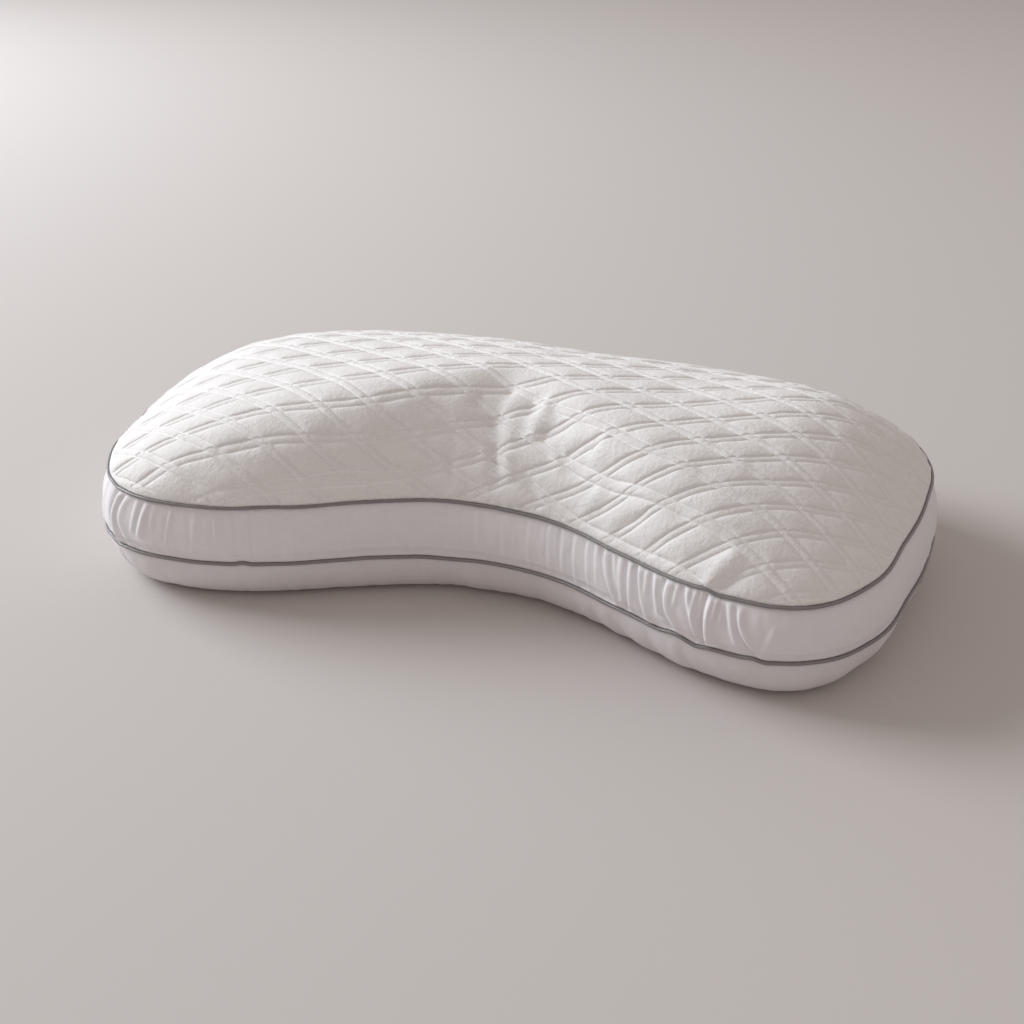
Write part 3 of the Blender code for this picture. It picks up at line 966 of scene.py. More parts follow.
    def _sides(self, rim: int) -> tuple[np.ndarray, list[list[int]]]:
        """Return the filling's points behind the gusset and the under panel, and their faces from rim."""
        upper = self.seams.upper_height(self.outline)
        lower = self.seams.lower_height(self.outline)
        gusset = GussetShape()
        rows = [self.outline.ring(-self.draw_in, upper)]
        rows.append(self.outline.ring(gusset.profile(0.5) - self.gusset_inset, (upper + lower) / 2.0))
        rows.append(self.outline.ring(self.seams.spread - self.draw_in, lower))
        tuck = TuckShape(self.seams)
        for share in (0.25, 0.5, 0.75, 1.0):
            rows.append(self.outline.ring(*tuck.inner(share, self.under_inset)))
        stations = self.outline.stations
        faces = []
        starts = [rim + stations * count for count in range(len(rows) + 1)]
        for start, after in zip(starts, starts[1:]):
            faces += ring_faces(start, after, stations)
        faces.append(list(range(starts[-1], starts[-1] + stations)))
        return np.vstack(rows), faces

    def _relief(
        self,
        cloth: FlatCloth,
        places: np.ndarray,
        angle: np.ndarray,
        lattice: np.ndarray,
    ) -> np.ndarray:
        """Return how far each point of the quilted cloth stands out from the plain crown."""
        room = cloth.edge(angle) - np.linalg.norm(places, axis=1)
        strength = 1.0 + self.strength.at(places)
        relief = self.pattern.relief(lattice) * strength * smooth_step(room / self.quilt_fade)
        for ripple in self.ripples:
            relief += ripple.at(places) * smooth_step(room / ripple.fade)
        around = np.column_stack([np.cos(angle), np.sin(angle)]) * PUCKER_CIRCLE
        near = np.exp(-room / self.pucker_run) * smooth_step(room / self.tightening.fade)
        relief += self.tightening.at(around) * near
        for crease in self.creases:
            relief += crease.height(places) * smooth_step(room / self.crease_fade)
        return relief

    @staticmethod
    def _lift(mesh: bpy.types.Mesh, relief: np.ndarray) -> None:
        """Move the first points of a mesh out along their normals by a relief."""
        count = len(mesh.vertices)
        points = np.empty(count * 3, dtype=np.float32)
        normals = np.empty(count * 3, dtype=np.float32)
        mesh.vertices.foreach_get("co", points)
        mesh.vertex_normals.foreach_get("vector", normals)
        points = points.reshape(-1, 3).astype(float)
        normals = normals.reshape(-1, 3).astype(float)
        points[: len(relief)] += normals[: len(relief)] * relief[:, None]
        mesh.vertices.foreach_set("co", points.astype(np.float32).ravel())
        mesh.update()


@dataclass(frozen=True)
class GussetShape:
    """Profile of the gusset from the upper seam to the lower one.

    Args:
        spread: How far the lower seam lies outside the upper one.
        edge_inset: How far the cloth's edges lie inside their seams.
        bulge: How far the middle stands out between the seams.
    """

    spread: float = SeamLines.spread
    edge_inset: float = EDGE_INSET
    bulge: float = 0.0042

    def profile(self, share: np.ndarray | float) -> np.ndarray:
        """Return the distance outside the upper seam at a share of the way down."""
        arch = np.maximum(np.sin(math.pi * np.asarray(share)), 0.0) ** 0.75
        return self.spread * np.asarray(share) - self.edge_inset + self.bulge * arch


@dataclass(frozen=True)
class TuckShape:
    """Profile of the under panel's side, from the lower seam in to the flat base.

    Args:
        seams: Heights of the seams.
        edge_inset: How far its edge lies inside the lower seam.
        edge_gap: How far its edge lies below the lower seam.
        tuck: How far it turns in to the base.
        thickness: Thickness of the panel.
    """

    seams: SeamLines
    edge_inset: float = EDGE_INSET
    edge_gap: float = EDGE_GAP
    tuck: float = 0.031
    thickness: float = 0.0024

    def outer(self, share: float) -> tuple[float, float]:
        """Return the distance outside the upper seam and the height, at a share of the way down."""
        turn = 0.5 * math.pi * share
        out = self.seams.spread - self.edge_inset - self.tuck * (1.0 - math.cos(turn))
        return out, (self.seams.lower - self.edge_gap) * (1.0 - math.sin(turn))

    def inner(self, share: float, inset: float) -> tuple[float, float]:
        """Return the same for a face further in."""
        out, height = self.outer(share)
        turn = 0.5 * math.pi * share
        return out - inset * math.cos(turn), height + inset * math.sin(turn)


LEFT_FOLDS = (
    Fold(1.086, 1.083, 0.0050, 0.0016),
    Fold(1.107, 1.102, 0.0045, 0.0014),
    Fold(1.1365, 1.1375, 0.0062, 0.0034, bow=-0.0058, hollow=0.8),
    Fold(1.1480, 1.1530, 0.0048, 0.0018, bow=-0.0100),
    Fold(1.1590, 1.1510, 0.0040, 0.0008, bottom=0.7),
    Fold(1.1690, 1.1590, 0.0046, 0.0019, bottom=0.75, bow=-0.001),
    Fold(1.1760, 1.1690, 0.0040, 0.0008, bottom=0.5),
    Fold(1.1910, 1.1830, 0.0020, 0.0009, bottom=0.8),
    Fold(1.2110, 1.2080, 0.0030, 0.0004),
    Fold(1.2285, 1.2258, 0.0018, 0.0007),
    Fold(1.2430, 1.2430, 0.0030, -0.0004),
    Fold(1.2560, 1.2560, 0.0018, -0.0004),
    Fold(1.2890, 1.2880, 0.0018, 0.0004),
    Fold(1.3320, 1.3330, 0.0030, 0.0003),
)
WAIST_FOLDS = (
    Fold(1.4050, 1.4050, 0.0050, 0.0003),
    Fold(1.4400, 1.4410, 0.0040, 0.0004),
    Fold(1.4620, 1.4650, 0.0040, 0.0005),
    Fold(1.4850, 1.4880, 0.0040, 0.0005),
    Fold(1.5030, 1.5080, 0.0040, 0.0007),
    Fold(1.5150, 1.5220, 0.0036, 0.0008),
    Fold(1.5270, 1.5350, 0.0036, 0.0009),
    Fold(1.5390, 1.5500, 0.0036, 0.0010),
    Fold(1.5480, 1.5600, 0.0030, 0.0008, bottom=0.8),
)
RIGHT_FOLDS = (
    Fold(1.5580, 1.5800, 0.0052, 0.0030, bow=-0.0015, hollow=0.8),
    Fold(1.5665, 1.5850, 0.0030, 0.0009, bottom=0.7),
    Fold(1.5730, 1.5850, 0.0034, 0.0010, bottom=0.9),
    Fold(1.5840, 1.5930, 0.0050, 0.0022, hollow=0.8),
    Fold(1.5930, 1.6120, 0.0052, 0.0032, bow=-0.0010, hollow=0.9),
    Fold(1.6000, 1.6120, 0.0026, 0.0009, bottom=0.5),
    Fold(1.6080, 1.6230, 0.0042, 0.0020, bottom=0.75),
    Fold(1.6140, 1.6230, 0.0026, 0.0010, bottom=0.5),
    Fold(1.6215, 1.6385, 0.0056, 0.0034, bow=-0.0055, hollow=0.9),
    Fold(1.6290, 1.6320, 0.0024, 0.0010, bottom=0.5),
    Fold(1.6370, 1.6545, 0.0044, 0.0028, bow=-0.0010, hollow=0.5),
    Fold(1.6440, 1.6480, 0.0030, 0.0012, bottom=0.6),
    Fold(1.6505, 1.6480, 0.0030, 0.0018, bottom=0.6),
    Fold(1.6580, 1.6610, 0.0062, 0.0036, bow=-0.0028, hollow=1.0),
    Fold(1.6625, 1.6600, 0.0026, 0.0012, bottom=0.5),
    Fold(1.6670, 1.6650, 0.0030, 0.0012, bottom=0.5),
    Fold(1.6705, 1.6850, 0.0044, 0.0018, bottom=0.9, bow=-0.0015),
    Fold(1.6790, 1.6985, 0.0036, 0.0022, top=0.02, bow=-0.0050),
    Fold(1.7090, 1.6975, 0.0026, 0.0009, top=0.25, steep=0.8),
    Fold(1.7280, 1.7300, 0.0040, 0.0004),
    Fold(1.7450, 1.7440, 0.0024, 0.0007),
    Fold(1.7700, 1.7690, 0.0040, 0.0004),
    Fold(1.8150, 1.8150, 0.0050, 0.0004),
)
BACK_FOLDS = (
    Fold(0.180, 0.176, 0.0060, 0.0012),
    Fold(0.222, 0.230, 0.0050, 0.0014),
    Fold(0.247, 0.252, 0.0045, 0.0012),
    Fold(0.271, 0.268, 0.0050, 0.0012),
    Fold(0.395, 0.398, 0.0040, 0.0006),
    Fold(0.520, 0.515, 0.0040, 0.0006),
    Fold(0.655, 0.660, 0.0040, 0.0006),
    Fold(0.762, 0.756, 0.0045, 0.0010),
    Fold(0.792, 0.798, 0.0050, 0.0014),
    Fold(0.818, 0.822, 0.0050, 0.0013),
    Fold(0.846, 0.840, 0.0050, 0.0014),
    Fold(0.905, 0.908, 0.0050, 0.0010),
    Fold(0.985, 0.982, 0.0050, 0.0009),
)


@dataclass
class GussetStrip:
    """The plain strip sewn round the sides between the two seams.

    Attributes:
        outline: The seam, at this strip's own stations.
        seams: Heights of the seams.
        shape: Profile between the seams.
        rows: Rows of points down its outer face.
        inner_rows: Rows up its inner face.
        thickness: Thickness of the cloth with its batting.
        edge_gap: Distance of its edges from their seams, up or down.
        folds: Folds across it.
        hem_share: Share of the way down where the seam allowance behind it shows as a line.
        hem_rise: Height of that line.
        hem_step: How much further in the cloth lies below it.
        hem_width: Half of its width, as a share of the way down.
        hem_run: Share over which the step below it is reached.
        ripples: Unevenness of the cloth.
        gathers: Fine gathers along its edges.
        gather_run: Share over which they fade.
        wave_depth: How far down the unevenness is read, from the top edge to the bottom one.
        edge_fade: Share at each edge over which all this fades.
    """

    outline: SeamOutline
    seams: SeamLines
    shape: GussetShape = field(default_factory=GussetShape)
    rows: int = 30
    inner_rows: int = 5
    thickness: float = 0.0020
    edge_gap: float = EDGE_GAP
    folds: tuple[Fold, ...] = LEFT_FOLDS + WAIST_FOLDS + RIGHT_FOLDS + BACK_FOLDS
    hem_share: float = 0.83
    hem_rise: float = 0.0003
    hem_step: float = 0.0005
    hem_width: float = 0.020
    hem_run: float = 0.03
    ripples: tuple[Unevenness, ...] = (
        Unevenness(0.050, 31, height=0.00055),
        Unevenness(0.008, 32, height=0.00020),
    )
    gathers: Unevenness = Unevenness(0.009, 33, height=0.00035)
    gather_run: float = 0.12
    wave_depth: float = 0.015
    edge_fade: float = 0.07

    def build(self) -> bpy.types.Object:
        """Build the strip as a closed band.

        Returns:
            The new object.
        """
        top = self.seams.upper_height(self.outline) - self.edge_gap
        bottom = self.seams.lower_height(self.outline) + self.edge_gap
        shares = 0.5 - 0.5 * np.cos(math.pi * np.linspace(0.0, 1.0, self.rows))
        sections = []
        for share in shares:
            out = self.shape.profile(share) + self._relief(share)
            sections.append(self.outline.ring(out, top + (bottom - top) * share))
        for share in np.linspace(1.0, 0.0, self.inner_rows):
            out = self.shape.profile(share) - self.thickness
            sections.append(self.outline.ring(out, top + (bottom - top) * share))
        girth = 2.0 * float(np.mean(top - bottom))
        piece = band_piece("gusset_strip", sections, self.outline.length, girth)
        return piece

    def _relief(self, share: float) -> np.ndarray:
        """Return how far one row stands out at each station."""
        places = self.outline.places
        edge = min(share, 1.0 - share)
        relief = np.zeros(len(places))
        for fold in self.folds:
            relief += fold.height(places, share)
        level = np.column_stack([self.outline.points, np.full(len(places), share * self.wave_depth)])
        for ripple in self.ripples:
            relief += ripple.at(level)
        relief += self.gathers.at(level) * math.exp(-edge / self.gather_run)
        hem = bell((share - self.hem_share) / self.hem_width)
        below = smooth_step((share - self.hem_share) / self.hem_run)
        relief += self.hem_rise * hem - self.hem_step * below
        return relief * smooth_step(edge / self.edge_fade)


@dataclass(frozen=True)
class Dent:
    """A soft crease that runs down the under panel's side.

    Args:
        place: Metres along the upper seam.
        lean: How far its lower end lies further along.
        width: Half of its width.
        rise: How far it stands out, or in where it is below nought.
    """

    place: float
    lean: float
    width: float
    rise: float


@dataclass
class UnderPanel:
    """The plain panel that the pillow rests on, with its side puckered below the lower seam.

    Attributes:
        outline: The seam, at this panel's own stations.
        seams: Heights of the seams.
        rows: Rows of points down its side.
        inner_rows: Rows up its inner face.
        side_length: Length of its side, for its UV map.
        ripple: Unevenness of its side.
        gathers: Fine gathers below the seam.
        gather_run: Share of the way down over which they fade.
        wave_depth: How far down the unevenness is read, from the top edge to the base.
        dents: Creases of its side.
    """

    outline: SeamOutline
    seams: SeamLines
    rows: int = 26
    inner_rows: int = 6
    side_length: float = 0.055
    ripple: Unevenness = Unevenness(0.040, 41, height=0.0008)
    gathers: Unevenness = Unevenness(0.014, 42, height=0.0006)
    gather_run: float = 0.35
    wave_depth: float = 0.03
    dents: tuple[Dent, ...] = (
        Dent(1.1370, 0.004, 0.0040, -0.0010),
        Dent(1.1790, 0.004, 0.0040, -0.0007),
        Dent(1.2470, -0.008, 0.0022, -0.0005),
        Dent(1.2785, 0.012, 0.0026, -0.0008),
        Dent(1.2840, 0.012, 0.0045, 0.0006),
        Dent(1.3200, 0.004, 0.0060, -0.0006),
        Dent(1.3488, 0.006, 0.0040, -0.0010),
        Dent(1.3977, 0.014, 0.0028, -0.0010),
        Dent(1.4060, 0.014, 0.0040, 0.0006),
        Dent(1.4115, 0.006, 0.0045, -0.0010),
        Dent(1.4241, 0.004, 0.0045, -0.0011),
        Dent(1.4479, 0.002, 0.0050, -0.0008),
        Dent(1.4655, 0.000, 0.0050, -0.0011),
        Dent(1.4893, 0.002, 0.0050, -0.0010),
        Dent(1.5107, 0.004, 0.0045, 0.0006),
        Dent(1.5307, 0.002, 0.0050, -0.0011),
        Dent(1.5495, 0.000, 0.0050, -0.0011),
        Dent(1.5659, 0.003, 0.0040, 0.0007),
        Dent(1.5784, 0.004, 0.0050, -0.0012),
        Dent(1.5935, 0.002, 0.0045, 0.0006),
        Dent(1.6098, 0.003, 0.0055, -0.0013),
        Dent(1.6311, 0.002, 0.0045, 0.0006),
        Dent(1.6424, 0.002, 0.0055, -0.0012),
        Dent(1.6675, 0.004, 0.0050, 0.0005),
        Dent(1.7000, 0.006, 0.0045, -0.0007),
        Dent(1.7450, 0.000, 0.0060, -0.0006),
        Dent(1.7900, -0.004, 0.0060, -0.0006),
    )

    def build(self) -> bpy.types.Object:
        """Build the panel as a closed dish of even thickness.

        Returns:
            The new object.
        """
        tuck = TuckShape(self.seams)
        rise = self.seams.lower_height(self.outline) - self.seams.lower
        rows = []
        widths = []
        for share in np.linspace(1.0, 0.0, self.rows):
            out, height = tuck.outer(share)
            lifted = height + rise * (height / self.seams.lower)
            rows.append(self.outline.ring(out + self._relief(share), lifted))
            widths.append(share)
        for share in np.linspace(0.0, 1.0, self.inner_rows):
            out, height = tuck.inner(share, tuck.thickness)
            rows.append(self.outline.ring(out, height + rise * (1.0 - share)))
            widths.append(share)
        stations = self.outline.stations
        faces = [list(range(stations))]
        for row in range(len(rows) - 1):
            faces += ring_faces(row * stations, (row + 1) * stations, stations)
        faces.append(list(range((len(rows) - 1) * stations, len(rows) * stations)))
        piece = mesh_piece("under_panel", np.vstack(rows), faces)
        along = np.tile(self.outline.places, len(rows))
        down = np.repeat(widths, stations) * self.side_length
        give_map(piece.data, "cloth", np.column_stack([along, down]))
        return piece

    def _relief(self, share: float) -> np.ndarray:
        """Return how far one row of the side stands out at each station."""
        places = self.outline.places
        level = np.column_stack([self.outline.points, np.full(len(places), share * self.wave_depth)])
        side = math.sin(math.pi * min(share, 0.999)) ** 0.6
        relief = self.ripple.at(level)
        relief += self.gathers.at(level) * math.exp(-share / self.gather_run)
        for dent in self.dents:
            middle = dent.place + dent.lean * (share - 0.5)
            relief += dent.rise * bell((places - middle) / dent.width)
        return relief * side


@dataclass
class SeamPiping:
    """The satin piping sewn into one seam.

    Attributes:
        side: Which seam.
        outline: The seam, at this piping's own stations.
        seams: Heights of the seams.
        radius: Radius of the piping.
        swell: Share by which the radius varies along it.
        section: Points round its section.
    """

    side: Side
    outline: SeamOutline
    seams: SeamLines
    radius: float = 0.00132
    swell: float = 0.05
    section: int = 14

    def build(self) -> bpy.types.Object:
        """Build the piping as a closed round cord of cloth.

        Returns:
            The new object.
        """
        upper = self.side is Side.UPPER
        heights = self.seams.upper_height(self.outline) if upper else self.seams.lower_height(self.outline)
        out = 0.0 if upper else self.seams.spread
        seed = 51 if upper else 52
        swell = Unevenness(0.012, seed, height=self.swell).at(self.outline.points)
        radius = self.radius * (1.0 + swell)
        sections = []
        for step in range(self.section):
            turn = math.tau * step / self.section
            away = radius * math.cos(turn)
            sections.append(self.outline.ring(out + away, heights + radius * math.sin(turn)))
        name = f"{self.side.value}_satin_piping"
        girth = math.tau * self.radius
        return band_piece(name, sections, self.outline.length, girth)


# A colour or an output that gives one
Paint = tuple[float, float, float] | bpy.types.NodeSocket


class NodeSheet:
    """Adds nodes to one node tree and joins them."""

    def __init__(self, tree: bpy.types.NodeTree) -> None:
        """Keep the tree.

        Args:
            tree: The tree to add to.
        """
        self.tree = tree
        self.column = 0

    def add(self, kind: str, **settings: object) -> bpy.types.Node:
        """Add a node and set its properties.

        Args:
            kind: The node's type.
            settings: Properties and their values.

        Returns:
            The new node.
        """
        node = self.tree.nodes.new(kind)
        for name, value in settings.items():
            setattr(node, name, value)
        node.location = (180.0 * self.column, 0.0)
        self.column += 1
        return node

    def join(self, output: bpy.types.NodeSocket, target: bpy.types.NodeSocket) -> None:
        """Join an output to an input."""
        self.tree.links.new(output, target)

    def feed(self, socket: bpy.types.NodeSocket, value: object) -> None:
        """Give an input its own number or colour, or join it to an output."""
        if isinstance(value, bpy.types.NodeSocket):
            self.join(value, socket)
        elif isinstance(value, tuple):
            socket.default_value = (*value, 1.0)
        else:
            socket.default_value = value

    def maths(self, operation: str, *values: object) -> bpy.types.NodeSocket:
        """Add a Math node.

        Args:
            operation: What it works out.
            values: A number or an output for each of its inputs.

        Returns:
            Its output.
        """
        node = self.add("ShaderNodeMath", operation=operation)
        for socket, value in zip(node.inputs, values):
            self.feed(socket, value)
        return node.outputs[0]

    def mix(self, first: Paint, second: Paint, share: bpy.types.NodeSocket) -> bpy.types.NodeSocket:
        """Add a mix of two colours, each a colour or an output, and return its colour."""
        node = self.add("ShaderNodeMix", data_type="RGBA")
        for number, value in ((0, share), (6, first), (7, second)):
            self.feed(node.inputs[number], value)
        return node.outputs[2]

    def split(self, place: bpy.types.NodeSocket) -> bpy.types.bpy_prop_collection:
        """Take a vector apart and return the outputs X, Y and Z."""
        node = self.add("ShaderNodeSeparateXYZ")
        self.join(place, node.inputs[0])
        return node.outputs

    def group(self, tree: bpy.types.NodeTree, **values: object) -> bpy.types.bpy_prop_collection:
        """Add a node group.

        Args:
            tree: The group's tree.
            values: A number or an output for each input, named with underscores for spaces.

        Returns:
            Its outputs.
        """
        node = self.add("ShaderNodeGroup", node_tree=tree)
        for name, value in values.items():
            self.feed(node.inputs[name.replace("_", " ").title()], value)
        return node.outputs

    def finish(self, shader: bpy.types.Node, colour: Paint, height: bpy.types.NodeSocket) -> None:
        """Join a colour, and a height in metres through a bump, to a shader."""
        bump = self.add("ShaderNodeBump")
        bump.inputs["Distance"].default_value = 1.0
        self.join(height, bump.inputs["Height"])
        self.join(bump.outputs[0], shader.inputs["Normal"])
        self.join(colour, shader.inputs["Base Color"])

    def noise(self, place: bpy.types.NodeSocket, scale: float, detail: float) -> bpy.types.NodeSocket:
        """Add a Noise texture and return its value."""
        node = self.add("ShaderNodeTexNoise")
        node.inputs["Scale"].default_value = scale
        node.inputs["Detail"].default_value = detail
        self.join(place, node.inputs["Vector"])
        return node.outputs["Fac"]


def group_with(name: str, inputs: dict[str, str], outputs: dict[str, str]) -> bpy.types.NodeTree:
    """Make an empty shader node group with named sockets.

    Args:
        name: Name of the group.
        inputs: Input names and socket types.
        outputs: Output names and socket types.

    Returns:
        The group's tree.
    """
    tree = bpy.data.node_groups.new(name, "ShaderNodeTree")
    for way, sockets in (("INPUT", inputs), ("OUTPUT", outputs)):
        for label, kind in sockets.items():
            tree.interface.new_socket(name=label, in_out=way, socket_type=kind)
    return tree


def weave_group() -> bpy.types.NodeTree:
    """Make the group of a plain weave: threads over and under in two directions.

    Returns:
        The group's tree, with the cloth's place and its threads per metre in, and the height out.
    """
    tree = group_with(
        "plain_weave",
        {"Place": "NodeSocketVector", "Threads": "NodeSocketFloat"},
        {"Height": "NodeSocketFloat"},
    )
    sheet = NodeSheet(tree)
    given = sheet.add("NodeGroupInput")
    place = sheet.split(given.outputs["Place"])
    turn = sheet.maths("MULTIPLY", given.outputs["Threads"], math.pi)
    waves = []
    for axis in ("X", "Y"):
        waves.append(sheet.maths("SINE", sheet.maths("MULTIPLY", place[axis], turn)))
    crossed = sheet.maths("MULTIPLY", waves[0], waves[1])
    height = sheet.maths("MULTIPLY_ADD", crossed, 0.5, 0.5)
    result = sheet.add("NodeGroupOutput")
    sheet.join(height, result.inputs["Height"])
    return tree


def crumple_group() -> bpy.types.NodeTree:
    """Make the group of soft crumples in washed cotton, at three scales.

    Returns:
        The group's tree, with the place and a scale in, and the height and a mask for painted shade and
        painted highlight out, high on the crumples' crests.
    """
    tree = group_with(
        "washed_crumple",
        {"Place": "NodeSocketVector", "Scale": "NodeSocketFloat"},
        {"Height": "NodeSocketFloat", "Painted Shading": "NodeSocketFloat"},
    )
    sheet = NodeSheet(tree)
    given = sheet.add("NodeGroupInput")
    scaled = sheet.add("ShaderNodeVectorMath", operation="SCALE")
    sheet.join(given.outputs["Place"], scaled.inputs[0])
    sheet.join(given.outputs["Scale"], scaled.inputs["Scale"])
    place = scaled.outputs[0]
    broad = sheet.noise(place, 0.35, 2.0)
    middle = sheet.noise(place, 1.0, 3.0)
    fine = sheet.add("ShaderNodeTexVoronoi", feature="SMOOTH_F1")
    fine.inputs["Scale"].default_value = 1.7
    fine.inputs["Smoothness"].default_value = 1.0
    sheet.join(place, fine.inputs["Vector"])
    height = sheet.maths("MULTIPLY_ADD", broad, 0.8, sheet.maths("MULTIPLY", middle, 0.8))
    height = sheet.maths("MULTIPLY_ADD", fine.outputs["Distance"], 0.35, height)
    result = sheet.add("NodeGroupOutput")
    sheet.join(height, result.inputs["Height"])
    # The middle crumples also give the mask for painted shade in their hollows and painted highlight on
    # their crests
    sheet.join(middle, result.inputs["Painted Shading"])
    return tree


# Length of a stitch with the gap after it, and the share that is stitch
STITCH_LENGTH = 0.0029
STITCH_SHARE = 0.76

# The thread of a groove, widened beside it into a painted highlight: how far from its middle it reaches,
# its height, its colour and its cover. The colour is partly the thread's own whiter colour and partly
# painted highlight.
THREAD_AND_HIGHLIGHT_WIDTH = 0.0009
THREAD_HEIGHT = 0.00005
THREAD_AND_HIGHLIGHT_COLOUR = (0.95, 0.94, 0.93)
THREAD_AND_HIGHLIGHT_COVER = 0.9

# The painted shade of a groove: how far from its middle it reaches, its tone and its cover
GROOVE_SHADE_WIDTH = 0.0011
GROOVE_SHADE_TONE = 0.86
GROOVE_SHADE_COVER = 0.06


def stitch_group() -> bpy.types.NodeTree:
    """Make the group of stitches along the two grooves of every line of one family.

    Returns:
        The group's tree. In go the place across the family and along it, both in lattice steps,
        and the lengths of those steps. Out come a mask of the thread with its painted highlight, and a
        mask of the groove's painted shade.
    """
    tree = group_with(
        "channel_stitches",
        {
            "Across": "NodeSocketFloat",
            "Along": "NodeSocketFloat",
            "Across Step": "NodeSocketFloat",
            "Along Step": "NodeSocketFloat",
        },
        {"Thread": "NodeSocketFloat", "Groove Shade": "NodeSocketFloat"},
    )
    sheet = NodeSheet(tree)
    given = sheet.add("NodeGroupInput")
    half = QuiltPattern().half_channel
    shifted = sheet.maths("ADD", given.outputs["Across"], 0.5)
    away = sheet.maths("ABSOLUTE", sheet.maths("SUBTRACT", sheet.maths("FRACT", shifted), 0.5))
    distance = sheet.maths("MULTIPLY", away, given.outputs["Across Step"])
    from_groove = sheet.maths("ABSOLUTE", sheet.maths("SUBTRACT", distance, half))
    # Mask of the groove's painted shade, fading from its middle
    groove = sheet.maths("SMOOTH_MIN", sheet.maths("DIVIDE", from_groove, GROOVE_SHADE_WIDTH), 1.0, 0.2)
    groove = sheet.maths("SUBTRACT", 1.0, groove)
    length = sheet.maths("MULTIPLY", given.outputs["Along"], given.outputs["Along Step"])
    stitch = sheet.maths("FRACT", sheet.maths("DIVIDE", length, STITCH_LENGTH))
    drawn = sheet.maths("LESS_THAN", stitch, STITCH_SHARE)
    drawn = sheet.maths("MULTIPLY_ADD", drawn, 0.6, 0.4)
    # Mask of the thread, spread wider than the thread as a painted highlight; it also lifts the bump
    line = sheet.maths("SUBTRACT", 1.0, sheet.maths("DIVIDE", from_groove, THREAD_AND_HIGHLIGHT_WIDTH))
    line = sheet.maths("MAXIMUM", line, 0.0)
    result = sheet.add("NodeGroupOutput")
    sheet.join(sheet.maths("MULTIPLY", drawn, line), result.inputs["Thread"])
    sheet.join(groove, result.inputs["Groove Shade"])
    return tree


# The shared node groups by name
Groups = dict[str, bpy.types.NodeTree]


def new_material(
    name: str,
    colour: tuple[float, float, float],
    roughness: float,
    specular: float,
    sheen: float = 0.0,
) -> tuple[bpy.types.Material, NodeSheet, bpy.types.Node]:
    """Make a material with the numbers that are the same all over it.

    Args:
        name: Its name.
        colour: Its colour in the plain view.
        roughness: Its roughness.
        specular: Strength of its mirror-like part.
        sheen: Weight of its sheen.

    Returns:
        The material, the sheet of its nodes and its shader.
    """
    material = bpy.data.materials.new(name)
    material.use_nodes = True
    material.diffuse_color = (*colour, 1.0)
    shader = material.node_tree.nodes["Principled BSDF"]
    shader.inputs["Roughness"].default_value = roughness
    shader.inputs["Specular IOR Level"].default_value = specular
    shader.inputs["Sheen Weight"].default_value = sheen
    return material, NodeSheet(material.node_tree), shader


